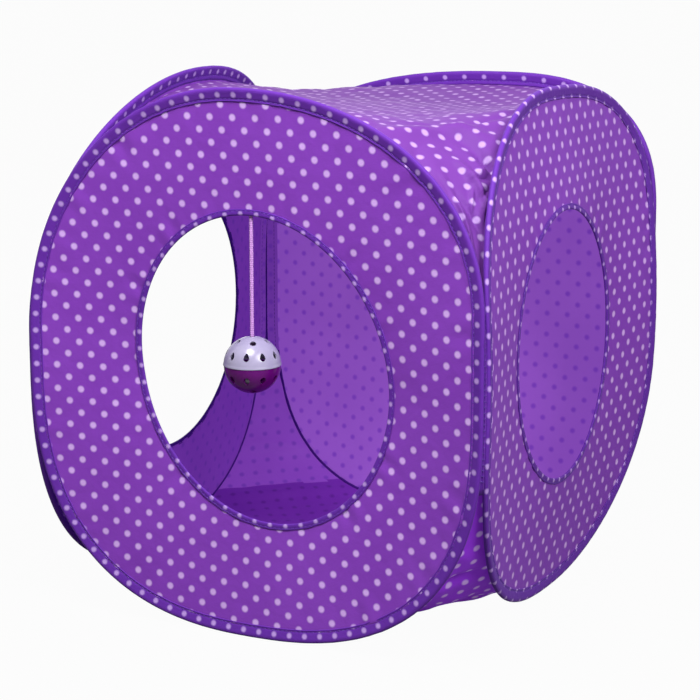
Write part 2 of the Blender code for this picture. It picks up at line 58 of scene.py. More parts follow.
# %% [markdown]
# The camera comes first, then the cord, because everything else is judged through the one and against
# the other. The lens and place were found by fitting the four loops' outlines in the photograph: it was
# taken from about 1.6 m away and 11 degrees above level, 26 degrees round to the right.

# %% Camera
FOCAL_PIXELS = 1985.0
FRAME_PIXELS = 700.0
camera_data = bpy.data.cameras.new("photo_camera")
camera_data.sensor_width = 36.0
camera_data.lens = FOCAL_PIXELS * camera_data.sensor_width / FRAME_PIXELS
camera_data.clip_end = 100.0
camera = bpy.data.objects.new("photo_camera", camera_data)
camera.location = (0.6724, -1.384, 0.4903)
camera.rotation_euler = (math.radians(90.0 - 11.27), 0.0, math.radians(26.17))
bpy.context.scene.collection.objects.link(camera)
bpy.context.scene.camera = camera
print("lens", round(camera_data.lens, 2), "mm")

# %% [markdown]
# Every finish starts from a colour read off the real thing as sRGB, which Blender needs in linear
# light. One helper turns hex into linear, and one adds a node with its settings and its links. A
# material is then a short list of nodes.

# %% Colour and node helpers
def linear(code):
    """A "#RRGGBB" colour as linear RGBA."""
    parts = [int(code[i:i + 2], 16) / 255 for i in (1, 3, 5)]
    return (*[p / 12.92 if p <= 0.04045 else ((p + 0.055) / 1.055) ** 2.4 for p in parts], 1.0)


def add(tree, kind, inputs=None, **settings):
    """A new node: settings are its own properties, and inputs its sockets' values or the sockets to link."""
    node = tree.nodes.new(kind)
    for key, value in settings.items():
        setattr(node, key, value)
    for key, value in (inputs or {}).items():
        if isinstance(value, bpy.types.NodeSocket):
            tree.links.new(value, node.inputs[key])
        else:
            node.inputs[key].default_value = value
    return node


def material(name):
    """An empty material, its node tree and its shader."""
    made = bpy.data.materials.new(name)
    made.use_nodes = True
    return made, made.node_tree, made.node_tree.nodes["Principled BSDF"]


# %% [markdown]
# The cloth is thin woven nylon with printed dots: matt, with a faint sheen where it is seen edge on. It
# is drawn by one function for all the cloth. The pattern reads the piece's own UV map, which every sheet
# gets in metres of flat cloth, so the dots follow the folds. The dots sit 12.7 mm apart on a lattice
# turned 45 degrees, and measure about 5 mm. The plain weave has threads every 0.25 mm. That is too fine
# to show, so it is drawn at 1.1 mm. A noise between two close colours makes the cloth a little uneven.

# %% Dotted nylon
DOT_SPACING = 0.0127
DOT_RADIUS = 0.0024
WEAVE_DRAWN = 0.0011
# The wave texture at scale 1 repeats after this length
WAVE_REPEAT = 0.314


def dotted_nylon(name, cloth, dots, turn=45.0, shift=(0.0, 0.0), depth=0.92, radius=DOT_RADIUS, soft=0.0007,
                 sheen=0.04, painted_glow=0.0):
    """Woven nylon in two hex colours, with dots of a third. turn (degrees) and shift (cells) place the dots,
    depth is how well they cover, soft is half the width of their edge, and glow is painted light, an
    emission in the cloth's own colours."""
    made, tree, shader = material(name)
    flat = add(tree, "ShaderNodeTexCoord").outputs["UV"]
    turned = add(tree, "ShaderNodeMapping", {
        "Vector": flat, "Rotation": (0.0, 0.0, math.radians(turn)),
        "Scale": (1 / DOT_SPACING, 1 / DOT_SPACING, 1.0), "Location": (*shift, 0.0)})
    cell = add(tree, "ShaderNodeVectorMath", {0: turned.outputs[0]}, operation="FRACTION")
    middle = add(tree, "ShaderNodeVectorMath", {0: cell.outputs[0], 1: (0.5, 0.5, 0.0)}, operation="SUBTRACT")
    reach = add(tree, "ShaderNodeVectorMath", {0: middle.outputs[0]}, operation="LENGTH")
    dot = add(tree, "ShaderNodeMapRange", {
        "Value": reach.outputs["Value"], "From Min": (radius - soft) / DOT_SPACING,
        "From Max": (radius + soft) / DOT_SPACING, "To Min": depth, "To Max": 0.0}).outputs[0]
    place = add(tree, "ShaderNodeTexCoord").outputs["Object"]
    cloud = add(tree, "ShaderNodeTexNoise", {"Vector": place, "Scale": 16.0, "Detail": 3.0}).outputs["Fac"]
    dark, light = linear(cloth[0]), linear(cloth[1])
    ground = add(tree, "ShaderNodeMix", {0: cloud, 6: dark, 7: light}, data_type="RGBA").outputs[2]
    printed = add(tree, "ShaderNodeMix", {0: dot, 6: ground, 7: linear(dots)}, data_type="RGBA").outputs[2]
    tree.links.new(printed, shader.inputs["Base Color"])
    threads = []
    for direction in ("X", "Y"):
        threads.append(add(tree, "ShaderNodeTexWave", {
            "Vector": flat, "Scale": WAVE_REPEAT / WEAVE_DRAWN, "Distortion": 0.6, "Detail": 1.0},
            bands_direction=direction).outputs["Fac"])
    weave = add(tree, "ShaderNodeMath", {0: threads[0], 1: threads[1]}, operation="MULTIPLY")
    crumple = add(tree, "ShaderNodeTexNoise", {
        "Vector": place, "Scale": 55.0, "Detail": 4.0, "Roughness": 0.6})
    woven = add(tree, "ShaderNodeBump", {"Strength": 0.12, "Distance": 0.0002, "Height": weave.outputs[0]})
    creased = add(tree, "ShaderNodeBump", {
        "Strength": 0.35, "Distance": 0.002, "Height": crumple.outputs["Fac"], "Normal": woven.outputs[0]})
    tree.links.new(creased.outputs[0], shader.inputs["Normal"])
    shader.inputs["Roughness"].default_value = 0.58
    shader.inputs["Specular IOR Level"].default_value = 0.15
    shader.inputs["Sheen Weight"].default_value = sheen
    shader.inputs["Sheen Roughness"].default_value = 0.45
    if painted_glow:
        tree.links.new(printed, shader.inputs["Emission Color"])
        shader.inputs["Emission Strength"].default_value = painted_glow
    return made


side_cloth = dotted_nylon("nylon_purple_dotted", ("#7633A6", "#8240B4"), "#CBA6E4")
# The top cloth is the sides' nylon drawn darker, with darker dots: painted shade on the top and on its
# corners between the loops.
top_cloth_painted_shade = dotted_nylon("nylon_purple_top_painted_shade", ("#602C84", "#6B358E"), "#A788C0", sheen=0.01)
# The foot cloth is the sides' nylon drawn more saturated, with a faint emission: painted light on the shaded
# foot corners.
foot_cloth_painted_light = dotted_nylon("nylon_purple_foot_painted_light", ("#7A26BC", "#8632C6"), "#BC98D8", painted_glow=0.22)
print("outer finishes", [m.name for m in (side_cloth, top_cloth_painted_shade, foot_cloth_painted_light)])

# %% [markdown]
# On the inside the print shows through as dots that are darker than the cloth, with a soft edge. Light
# comes through the cloth there and the printed ink holds it back. A little emission in the same pattern
# stands for that light. There is more of it where the cloth faces the light from behind.

# %% Inner faces of the cloth
INK_SEEN_THROUGH = "#643298"
LINING = {"radius": 0.0021, "soft": 0.0010}
side_lining = dotted_nylon("nylon_purple_back", ("#6E349C", "#783CA4"), INK_SEEN_THROUGH, painted_glow=0.50, **LINING)
back_lining = dotted_nylon("nylon_purple_back_in_light", ("#75429C", "#804BA6"), INK_SEEN_THROUGH, painted_glow=0.95,
                           **LINING)
floor_lining = dotted_nylon("nylon_purple_floor_back", ("#6A279A", "#742EA2"), "#5C2288", painted_glow=0.30, **LINING)
gusset_lining = dotted_nylon("nylon_purple_gusset_back", ("#743A9E", "#7E42A8"), INK_SEEN_THROUGH, painted_glow=0.62,
                             **LINING)
print("inner finishes", [m.name for m in (side_lining, back_lining, floor_lining, gusset_lining)])

# %% [markdown]
# The binding tape is a darker nylon with smaller dots of the same pitch. The tapes of the front and the
# left are cut on the bias, so the dots run along them in single file. Those of the right and the back
# are cut straight, so their dots are staggered. The opening tapes are narrower, with still smaller dots.

# %% Tapes
TAPE_PURPLE, TAPE_DOTS = ("#562390", "#622B9A"), "#B896D8"
LOOP_PRINT = {"depth": 0.85, "radius": 0.0019}
tape_cloth = dotted_nylon("nylon_tape_dark_purple", TAPE_PURPLE, TAPE_DOTS, turn=0.0, **LOOP_PRINT)
straight_tape = dotted_nylon("nylon_tape_cut_straight", TAPE_PURPLE, TAPE_DOTS, shift=(0.149, -0.149),
                             **LOOP_PRINT)
right_tape = dotted_nylon("nylon_tape_cut_straight_low", TAPE_PURPLE, TAPE_DOTS, shift=(0.09, -0.09),
                          **LOOP_PRINT)
edge_tape = dotted_nylon("nylon_tape_narrow", ("#542290", "#602A98"), TAPE_DOTS, turn=0.0, shift=(0.0, 0.34),
                         depth=0.85, radius=0.0016)
tape_lining = dotted_nylon("nylon_tape_back_in_light", ("#6C3798", "#7640A2"), INK_SEEN_THROUGH, turn=0.0,
                           painted_glow=0.62, **LINING)
print("tape finishes", [m.name for m in (tape_cloth, straight_tape, right_tape, edge_tape, tape_lining)])

# %% [markdown]
# The cord is a soft pink-lilac braid, 2.8 mm thick. Two sets of threads cross on its skin. Their slant
# is drawn by adding the height to the angle round the cord's line. Real threads are about 0.3 mm
# apart. They are drawn at 1.5 mm so that they show. The grooves between them are drawn darker, in step
# with the bump: painted shade.

# %% Cord finish
CORD_LINE = (0.0, -0.17311837)
# Two slants cross, so threads 1.5 mm apart repeat every 3 mm up the cord
BRAID_REPEAT = 0.0030


def cord_finish():
    """Braided polyester: two crossing sine waves round the cord, matt and soft, with painted shade in its
    grooves.
    """
    made, tree, shader = material("polyester_braid_pink_lilac_painted_shade")
    place = add(tree, "ShaderNodeTexCoord").outputs["Object"]
    centred = add(tree, "ShaderNodeVectorMath", {0: place, 1: (*CORD_LINE, 0.0)}, operation="SUBTRACT")
    axes = add(tree, "ShaderNodeSeparateXYZ", {0: centred.outputs[0]})
    angle = add(tree, "ShaderNodeMath", {0: axes.outputs[1], 1: axes.outputs[0]}, operation="ARCTAN2")
    around = add(tree, "ShaderNodeMath", {0: angle.outputs[0], 1: 3.0}, operation="MULTIPLY")
    waves = []
    for slant in (1.0, -1.0):
        raised = add(tree, "ShaderNodeMath", {
            0: axes.outputs[2], 1: slant * 2 * math.pi / BRAID_REPEAT, 2: around.outputs[0]},
            operation="MULTIPLY_ADD")
        waves.append(add(tree, "ShaderNodeMath", {0: raised.outputs[0]}, operation="SINE").outputs[0])
    braid = add(tree, "ShaderNodeMath", {0: waves[0], 1: waves[1]}, operation="MULTIPLY").outputs[0]
    share = add(tree, "ShaderNodeMapRange", {"Value": braid, "From Min": -1.0, "From Max": 1.0}).outputs[0]
    # Painted shade: the grooves, low on the bump, take the darker colour.
    shade = add(tree, "ShaderNodeMix", {0: share, 6: linear("#9A66AA"), 7: linear("#D09CDE")},
                data_type="RGBA")
    bump = add(tree, "ShaderNodeBump", {"Strength": 0.6, "Distance": 0.0003, "Height": share})
    tree.links.new(shade.outputs[2], shader.inputs["Base Color"])
    tree.links.new(bump.outputs[0], shader.inputs["Normal"])
    shader.inputs["Roughness"].default_value = 0.72
    return made


cord_braid = cord_finish()
print("cord finish", cord_braid.name)

# %% [markdown]
# The cord hangs in three stretches, because it bends at two places: its tail is sewn behind the top of
# the front opening, a short stretch under it swings sideways, and the long one below swings in and
# out. Each stretch is a curve with a round section. Its ends are rounded about the bending points, so
# that no gap shows when the cord swings. The heights repeat the route of the solid cord.

# %% Cord
CORD_RADIUS = 0.0014
TAIL_TOP = 0.3160
SIDE_BEND = 0.3096
FORE_BEND = 0.3016
CORD_FOOT = 0.2240
CAP_DEGREES = (84.0, 66.0, 45.0, 24.0)


def hanging_stretch(name, top, foot, count):
    """A straight cord from top to foot, with a round cap over each end."""
    levels = np.linspace(top, foot, count)
    caps = [math.radians(a) for a in CAP_DEGREES]
    heights = [top + CORD_RADIUS * math.sin(a) for a in caps]
    widths = [math.cos(a) for a in caps]
    heights += list(levels)
    widths += [1.0] * count
    heights += [foot - CORD_RADIUS * math.sin(a) for a in reversed(caps)]
    widths += [math.cos(a) for a in reversed(caps)]
    curve = bpy.data.curves.new(name, "CURVE")
    curve.dimensions = "3D"
    curve.bevel_depth = CORD_RADIUS
    curve.bevel_resolution = 5
    curve.use_fill_caps = True
    spline = curve.splines.new("POLY")
    spline.points.add(len(heights) - 1)
    for point, height, width in zip(spline.points, heights, widths):
        point.co = (*CORD_LINE, height, 1.0)
        point.radius = width
    piece = bpy.data.objects.new(name, curve)
    bpy.context.scene.collection.objects.link(piece)
    curve.materials.append(cord_braid)
    return piece


cord_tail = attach(hanging_stretch("toy_cord_tail", TAIL_TOP - CORD_RADIUS, SIDE_BEND, 4), "front")
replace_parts(cord_tail, "cord_tail")
cord_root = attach(hanging_stretch("toy_cord_root", SIDE_BEND, FORE_BEND, 5), "cord_stub")
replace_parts(cord_root, "cord_root")
toy_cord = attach(hanging_stretch("toy_cord_hanging", FORE_BEND, CORD_FOOT, 24), "cord")
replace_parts(toy_cord, "toy_cord")

# %% [markdown]
# Every cloth side is measured from its wire loop, so the loops' lines come next. A loop is two upright
# runs and four rounded corners. A corner is a stretched superellipse from the run's end to the crest or
# foot of the loop. The wire springs a little out of true on a real cube. The numbers for each corner
# and crest were fitted to the outlines in the photograph, a few millimetres round the frame's loops,
# and so was how far each loop's crest and foot bow inwards under the pull of the covers.

# %% The four loops
wire_low, wire_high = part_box("front_wire")
WIRE_RADIUS = (wire_high.y - wire_low.y) / 2
PLANE = -(wire_high.y + wire_low.y) / 2
HALF_WIDTH = (wire_high.x - wire_low.x) / 2 - WIRE_RADIUS
MIDDLE = (wire_high.z + wire_low.z) / 2
STATIONS = 240
QUARTERS = {"front": 0, "right": 1, "back": 2, "left": 3}
# Left and right upright of each side, seen from outside
UPRIGHTS = {"front": ("front_left", "front_right"), "right": ("front_right", "back_right"),
            "back": ("back_right", "back_left"), "left": ("back_left", "front_left")}
# Height over the middle where the rounding starts, and how square the corner is: top, then foot
CORNERS = {"front_left": ((0.015, 2.02), (0.015, 2.44)), "front_right": ((0.050, 2.13), (0.015, 2.46)),
           "back_right": ((0.076, 2.70), (0.035, 2.13)), "back_left": ((0.080, 2.34), (0.015, 2.60))}
# How far the crest lies to the side and over the middle, then the same for the foot
CRESTS = {"front": ((-0.009, 0.1982), (-0.003, 0.1977)), "right": ((-0.011, 0.1935), (0.001, 0.1838)),
          "back": ((-0.043, 0.1915), (0.008, 0.1970)), "left": ((-0.040, 0.1980), (0.010, 0.1965))}
# How far the crest and the foot bow inwards, when the bow is measured 0.2 m from the middle
BOWS = {"front": (0.0, 0.012), "right": (0.024, 0.024), "back": (0.0, 0.018), "left": (0.024, 0.0)}
BOW_REACH = 0.2
CORNER_POINTS = 400


def corner_line(side, right, top):
    """Dense points of one corner, from the upright run's end to the crest or foot."""
    end, power = CORNERS[UPRIGHTS[side][1 if right else 0]][0 if top else 1]
    crest = CRESTS[side][0 if top else 1]
    turn = np.linspace(0, np.pi / 2, CORNER_POINTS)
    across = np.clip(np.cos(turn), 0, 1) ** (2 / power)
    along = np.sin(turn) ** (2 / power)
    edge = HALF_WIDTH if right else -HALF_WIDTH
    line = np.column_stack([crest[0] + (edge - crest[0]) * across, end + (crest[1] - end) * along])
    return line if top else line * (1, -1)


def even(line, count, closed=False):
    """The line again, in evenly spaced points."""
    if closed:
        line = np.vstack([line, line[:1]])
    lengths = np.r_[0, np.cumsum(np.linalg.norm(np.diff(line, axis=0), axis=1))]
    where = np.linspace(0, lengths[-1], count + 1)[:-1] if closed else np.linspace(0, lengths[-1], count)
    return np.column_stack([np.interp(where, lengths, line[:, k]) for k in range(line.shape[1])])


def loop_line(side):
    """The wire's line, anticlockwise from its foot as seen from outside."""
    parts = [corner_line(side, True, False)[::-1], corner_line(side, True, True),
             corner_line(side, False, True)[::-1], corner_line(side, False, False)]
    return even(np.vstack(parts), STATIONS, closed=True)


def inward_of(line):
    """Unit normals that point into a closed anticlockwise line."""
    along = np.roll(line, -1, axis=0) - np.roll(line, 1, axis=0)
    normal = np.column_stack([-along[:, 1], along[:, 0]])
    return normal / np.linalg.norm(normal, axis=1)[:, None]


def bow(side, height):
    """How far inwards the loop lies at a height over its middle."""
    top, foot = BOWS[side]
    share = height / BOW_REACH
    return top * np.maximum(share, 0) ** 2 + foot * np.maximum(-share, 0) ** 2


def stand(side, flat, depth):
    """Points of a side's own plane (across, up) with a depth inwards, as points of the frame."""
    points = np.stack([flat[..., 0], -PLANE + depth, MIDDLE + flat[..., 1]], -1)
    for _ in range(QUARTERS[side]):
        points = np.stack([-points[..., 1], points[..., 0], points[..., 2]], -1)
    return points


LOOPS = {side: loop_line(side) for side in QUARTERS}
LOOP_LENGTHS = {side: float(np.linalg.norm(np.diff(np.vstack([line, line[:1]]), axis=0), axis=1).sum())
                for side, line in LOOPS.items()}
print("wire lengths", {k: round(v, 3) for k, v in LOOP_LENGTHS.items()})

# %% [markdown]
# A strip of cloth is a grid whose points are laid along the loop, row by row. The grid primitive brings
# a UV map, which is set to the place of each point on the flat cloth, in metres. The strip's two ends
# are then merged, and Solidify gives the cloth its thickness and an inner face of its own.

# %% Cloth helpers
def pick(piece):
    """Only this piece is selected and active."""
    bpy.ops.object.select_all(action="DESELECT")
    piece.select_set(True)
    bpy.context.view_layer.objects.active = piece


def lay(name, points, flat, closed=True):
    """A grid of cloth laid at points (rows, stations, 3), with flat places (rows, stations, 2)."""
    if closed:
        points = np.concatenate([points, points[:, :1]], axis=1)
    rows, stations = points.shape[:2]
    bpy.ops.object.select_all(action="DESELECT")
    bpy.ops.mesh.primitive_grid_add(x_subdivisions=stations - 1, y_subdivisions=rows - 1, calc_uvs=True)
    piece = bpy.context.object
    piece.name = piece.data.name = name
    piece.data.vertices.foreach_set("co", points.reshape(-1).astype(np.float32))
    corners = np.empty(len(piece.data.loops), np.int32)
    piece.data.loops.foreach_get("vertex_index", corners)
    places = flat.reshape(-1, 2)[corners].reshape(-1)
    piece.data.uv_layers[0].data.foreach_set("uv", places.astype(np.float32))
    bpy.ops.object.mode_set(mode="EDIT")
    bpy.ops.mesh.select_all(action="SELECT")
    bpy.ops.mesh.remove_doubles(threshold=0.00001)
    bpy.ops.object.mode_set(mode="OBJECT")
    bpy.ops.object.shade_smooth()
    return piece


def thicken(piece, thickness, outer, inner):
    """Gives cloth its thickness on the inner side, with its own finish on the inner face."""
    piece.data.materials.clear()
    piece.data.materials.append(outer)
    piece.data.materials.append(inner)
    pick(piece)
    solid = piece.modifiers.new("thickness", "SOLIDIFY")
    solid.thickness = thickness
    solid.offset = -1.0
    solid.material_offset = 1
    solid.material_offset_rim = 0
    bpy.ops.object.modifier_apply(modifier=solid.name)
    return piece


def flat_rows(closed_flat):
    """Flat places with the closing column added."""
    return np.concatenate([closed_flat, closed_flat[:, :1]], axis=1)


# %% [markdown]
# Three sides have an oval opening, a little out of round and leaning, as cut and hemmed cloth is. The
# tight tape round it draws the cloth inwards, so the side is a shallow funnel. At the top of the front
# opening the cloth stays nearer the front, because the toy's cord hangs close behind it.

# %% The openings' edges
# Half width, half height, middle across and up, and lean in degrees of each opening
HOLES = {"front": (0.0995, 0.1136, 0.005, -0.001, 16.0), "right": (0.0955, 0.1030, 0.0, 0.003, 12.0),
         "left": (0.1130, 0.1120, 0.0, 0.000, -3.0)}
# How deep the opening's edge lies, at its top and elsewhere, and over what height and how fast it changes
DISHES = {"front": (0.0085, 0.0165), "right": (0.012, 0.012), "left": (0.010, 0.010), "back": (0.003, 0.003)}
DISH_HEIGHT, DISH_EASE = 0.112, 0.9
# The back has no opening: its rows run in to this point, across and up
BACK_MIDDLE = (0.0, 0.002)


def hole_line(side):
    """The opening's edge, station for station with the loop."""
    line = LOOPS[side]
    if side not in HOLES:
        return np.zeros_like(line) + BACK_MIDDLE
    wide, high, across, up, lean = HOLES[side]
    angle = np.arctan2(line[:, 1] / MIDDLE, line[:, 0] / HALF_WIDTH) - math.radians(lean)
    x, z = wide * np.cos(angle), high * np.sin(angle)
    tilt = math.radians(lean)
    return np.column_stack([x * math.cos(tilt) - z * math.sin(tilt) + across,
                            x * math.sin(tilt) + z * math.cos(tilt) + up])


def hole_depth(side):
    """How deep the opening's edge lies at each station: less at the top, more at the sides and foot."""
    top, rest = DISHES[side]
    height = hole_line(side)[:, 1] / DISH_HEIGHT
    return top + (rest - top) * np.clip((1 - height) * DISH_EASE, 0, 1)


print("openings", {side: [round(2000 * half) for half in HOLES[side][:2]] for side in HOLES}, "mm")

# %% [markdown]
# Cloth that is sewn to a shorter edge gathers into small puckers. They are drawn as a wave round the
# loop, the sum of three with different counts, which swells and dies down on the way. The puckers are
# highest just beside the tape and fade within a few centimetres.

# %% Puckers
# Height of the puckers, how far from the sewn edge they are highest, and over what length they fade
LOOP_PUCKERS = (0.0007, 0.008, 0.010)
EDGE_PUCKERS = (0.0006, 0.006, 0.009)


def puckers(count, seed):
    """A gathered edge's uneven ripple round a loop, between -1 and 1."""
    angle = np.linspace(0, 2 * np.pi, STATIONS, endpoint=False)
    chance = np.random.default_rng(seed)
    ripple = sum(np.sin(round(count * k) * angle + chance.uniform(0, 6.28)) for k in (0.62, 1.0, 1.37))
    start, other_start = chance.uniform(0, 6.28), chance.uniform(0, 6.28)
    swell = 1 + 0.8 * np.sin(3 * angle + start) * np.sin(7 * angle + other_start)
    return ripple * swell / 4


def pucker_depth(puckered, ripple, distance):
    """The puckers' share of the depth at a distance from a sewn edge."""
    height, place, width = puckered
    return height * ripple * np.exp(-((distance - place) / width) ** 2)


print("puckers up to", round(float(np.abs(puckers(52, 3)).max()), 2), "of their height")

# %% [markdown]
# Each side is a cloth ring, or at the back a whole cloth, laid row by row from its loop to its opening.
# Both of its edges lie under a tape.

# %% Side cloths
CLOTH = 0.0006
PANEL_ROWS = 26
# How far the cloth starts inside the loop's line, and reaches past the opening's, under the tapes
UNDER_LOOP_TAPE, UNDER_EDGE_TAPE = 0.004, 0.001


def side_cloth_piece(side, seed):
    """The cloth of one side, from under its loop's tape to under its opening's tape."""
    loop, hole = LOOPS[side] + inward_of(LOOPS[side]) * UNDER_LOOP_TAPE, hole_line(side)
    if side in HOLES:
        hole = hole - inward_of(hole) * UNDER_EDGE_TAPE
    outer, inner = bow(side, loop[:, 1]), hole_depth(side)
    gather, pinch = puckers(52, seed), puckers(38, seed + 1)
    points, flat = [], []
    for row in range(PANEL_ROWS + 1):
        share = row / PANEL_ROWS
        place = loop + (hole - loop) * share
        depth = outer + (inner - outer) * share
        depth = depth + pucker_depth(LOOP_PUCKERS, gather, np.linalg.norm(place - loop, axis=1))
        if side in HOLES:
            depth = depth + pucker_depth(EDGE_PUCKERS, pinch, np.linalg.norm(place - hole, axis=1))
        points.append(stand(side, place, depth))
        flat.append(place)
    piece = lay(side + "_cloth", np.array(points), flat_rows(np.array(flat)))
    return thicken(piece, CLOTH, side_cloth, side_lining if side in HOLES else back_lining)


side_pieces = {side: side_cloth_piece(side, 11 * k + 3) for k, side in enumerate(QUARTERS)}
for side, piece in side_pieces.items():
    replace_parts(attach(piece, side), side + "_panel")
    print(piece.name, len(piece.data.polygons), "faces")

# %% [markdown]
# The tape is one long strip, folded over the wire and sewn through both leaves. Its section is drawn
# once, from the edge of the inner leaf, round the wire and down to the edge of the outer leaf, and swept
# along the loop. The sewn line is a shallow valley near the leaf's edge, and the tape ripples a little
# between the stitches. The inner leaf is cut a little wider, so that a seam sewn from outside is sure to
# catch it. Down the uprights it is lit through from behind, so those faces have the lighter finish.

# %% Loop tapes
# Inwards from the wire and away from the loop's plane, in millimetres: down the outer leaf, then the inner
TAPE_SECTION = ((-2.35, 0.0), (-2.2, 0.95), (-1.6, 1.6), (-0.6, 1.95), (0.6, 1.95), (1.8, 1.7), (3.0, 1.45),
                (4.2, 1.25), (5.2, 1.0), (5.6, 0.72), (6.1, 0.7), (6.6, 1.02), (7.2, 1.08), (7.6, 0.8))
TAPE_INSIDE = ((-2.35, 0.0), (-2.2, 0.95), (-1.6, 1.75), (-0.6, 2.2), (0.6, 2.2), (1.8, 1.9), (3.2, 1.6),
               (4.6, 1.35), (5.3, 0.95), (5.8, 0.72), (6.4, 0.95), (7.3, 1.1), (8.3, 1.12), (9.2, 0.85))
TAPE = 0.0005
# The ripple: in the tape's plane, full from this far from the wire, and as a share of its thickness
TAPE_RIPPLE, RIPPLE_FULL_AT, PLUMP = 0.0003, 0.006, 0.10


def swept_tape(name, side, line, inward, section, inside, plane_depth, slope, seed, ripple, finish):
    """A folded tape, swept along a side's closed line: section for the outer leaf, inside for the inner."""
    half, back = np.array(section) / 1000, np.array(inside) / 1000
    whole = np.vstack([back[:0:-1] * (1, -1), half])
    along = np.r_[0, np.cumsum(np.linalg.norm(np.diff(np.vstack([line, line[:1]]), axis=0), axis=1))]
    pitch = along[-1] / round(along[-1] / DOT_SPACING)
    across = np.r_[0, np.cumsum(np.linalg.norm(np.diff(whole, axis=0), axis=1))]
    across = across - across[len(back) - 1]
    wave = puckers(ripple, seed)
    points, flat = [], []
    for (reach, out), over in zip(whole, across):
        free = min(1.0, abs(reach) / RIPPLE_FULL_AT) * TAPE_RIPPLE
        place = line + inward * (reach + wave * free)[:, None]
        depth = plane_depth + slope * reach - out * (1 + PLUMP * wave)
        points.append(stand(side, place, depth))
        flat.append(np.column_stack([along * DOT_SPACING / pitch, np.full(len(along), over)]))
    piece = lay(name, np.array(points), np.array(flat))
    return thicken(piece, TAPE, finish, finish)


LIT_HEIGHT = 0.064
# On the flat tape, measured over from the fold, the inner leaf starts here
INNER_LEAF = -0.0012


def face_inside_leaf(piece):
    """Gives the inner leaf, down the uprights, the finish of tape that is lit from behind."""
    piece.data.materials.append(tape_lining)
    places = np.empty(2 * len(piece.data.loops), np.float32)
    piece.data.uv_layers[0].data.foreach_get("uv", places)
    over = places[1::2]
    for face in piece.data.polygons:
        if abs(face.center.z - MIDDLE) < LIT_HEIGHT and over[face.loop_start] < INNER_LEAF:
            face.material_index = 2


LOOP_TAPES = {"front": tape_cloth, "right": right_tape, "back": straight_tape, "left": tape_cloth}
tape_pieces = {}
for number, side in enumerate(QUARTERS):
    line = LOOPS[side]
    inward = inward_of(line)
    hole = hole_line(side)
    run = np.linalg.norm(hole - line, axis=1)
    slope = (hole_depth(side) - bow(side, line[:, 1])) / run
    piece = swept_tape(side + "_loop_tape", side, line, inward, TAPE_SECTION, TAPE_INSIDE,
                       bow(side, line[:, 1]), slope, 40 + number, 90, LOOP_TAPES[side])
    face_inside_leaf(piece)
    tape_pieces[side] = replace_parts(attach(piece, side), side + "_binding")
print("loop tapes", [len(p.data.polygons) for p in tape_pieces.values()])

# %% [markdown]
# A narrower tape folds over the edge of each opening. It has no wire inside, so its edge is soft and
# wavers a little. The sweep runs the other way round here, because the cloth lies outside this line, so
# the normals are made consistent afterwards.

# %% Opening tapes
HOLE_SECTION = ((-0.8, 0.0), (-0.6, 0.55), (-0.1, 0.85), (0.6, 0.9), (1.4, 0.85), (2.1, 0.75), (2.6, 0.5),
                (3.0, 0.66), (3.5, 0.7), (3.9, 0.5))
hole_tapes = {}
for number, side in enumerate(HOLES):
    hole = hole_line(side)
    outward = -inward_of(hole)
    run = np.linalg.norm(hole - LOOPS[side], axis=1)
    slope = -(hole_depth(side) - bow(side, LOOPS[side][:, 1])) / run
    piece = swept_tape(side + "_opening_tape", side, hole[::-1], outward[::-1], HOLE_SECTION, HOLE_SECTION,
                       hole_depth(side)[::-1], slope[::-1], 60 + number, 64, edge_tape)
    pick(piece)
    bpy.ops.object.mode_set(mode="EDIT")
    bpy.ops.mesh.select_all(action="SELECT")
    bpy.ops.mesh.normals_make_consistent(inside=False)
    bpy.ops.object.mode_set(mode="OBJECT")
    hole_tapes[side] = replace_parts(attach(piece, side), side + "_hole_binding")
print("opening tapes", [len(p.data.polygons) for p in hole_tapes.values()])

# %% [markdown]
# The wire itself never shows, but it is what holds the cube open, so it is there: a 2 mm spring wire in
# each tape, its two ends pushed into a crimped sleeve near the foot. The wire is a curve with a round
# section, and the sleeve a cylinder whose ends are drawn in and whose waist is pinched twice.

# %% Wires and sleeves
def spring_steel():
    """Drawn and oiled spring steel: a smooth grey metal whose gloss varies a little from place to place."""
    made, tree, shader = material("spring_steel_oiled")
    place = add(tree, "ShaderNodeTexCoord").outputs["Object"]
    mottle = add(tree, "ShaderNodeTexNoise", {"Vector": place, "Scale": 400.0, "Detail": 2.0})
    rough = add(tree, "ShaderNodeMapRange", {"Value": mottle.outputs["Fac"], "To Min": 0.25, "To Max": 0.42})
    tree.links.new(rough.outputs[0], shader.inputs["Roughness"])
    shader.inputs["Base Color"].default_value = linear("#B4B5B8")
    shader.inputs["Metallic"].default_value = 1.0
    return made


steel = spring_steel()
# The wire's joint lies this many stations past the loop's foot
JOINT_STATION = 6


def sewn_wire(side):
    """The spring wire down the middle of the tape, with a small gap at its joint."""
    line = LOOPS[side]
    middle = stand(side, line, bow(side, line[:, 1]))
    middle = np.roll(middle, JOINT_STATION, axis=0)
    curve = bpy.data.curves.new(side + "_spring_wire", "CURVE")
    curve.dimensions = "3D"
    curve.bevel_depth = WIRE_RADIUS
    curve.bevel_resolution = 2
    curve.use_fill_caps = True
    spline = curve.splines.new("POLY")
    spline.points.add(len(middle) - 1)
    spline.points.foreach_set("co", np.column_stack([middle, np.ones(len(middle))]).reshape(-1))
    curve.materials.append(steel)
    piece = bpy.data.objects.new(side + "_spring_wire", curve)
    bpy.context.scene.collection.objects.link(piece)
    pick(piece)
    bpy.ops.object.convert(target="MESH")
    bpy.ops.object.shade_smooth()
    return bpy.context.object, Vector((middle[0] + middle[-1]) / 2), Vector(middle[0] - middle[-1])


SLEEVE_RADIUS, SLEEVE_LENGTH = 0.00145, 0.014
SLEEVE_CUTS = (-0.0062, -0.0045, -0.0038, -0.0031, -0.0012, 0.0012, 0.0031, 0.0038, 0.0045, 0.0062)
# Where the pliers pinched it and how narrow that left it, and the same for its rims
CRIMP_HEIGHT, CRIMP_WAIST = 0.0038, 0.86
RIM_HEIGHT, RIM_WAIST = 0.0065, 0.9


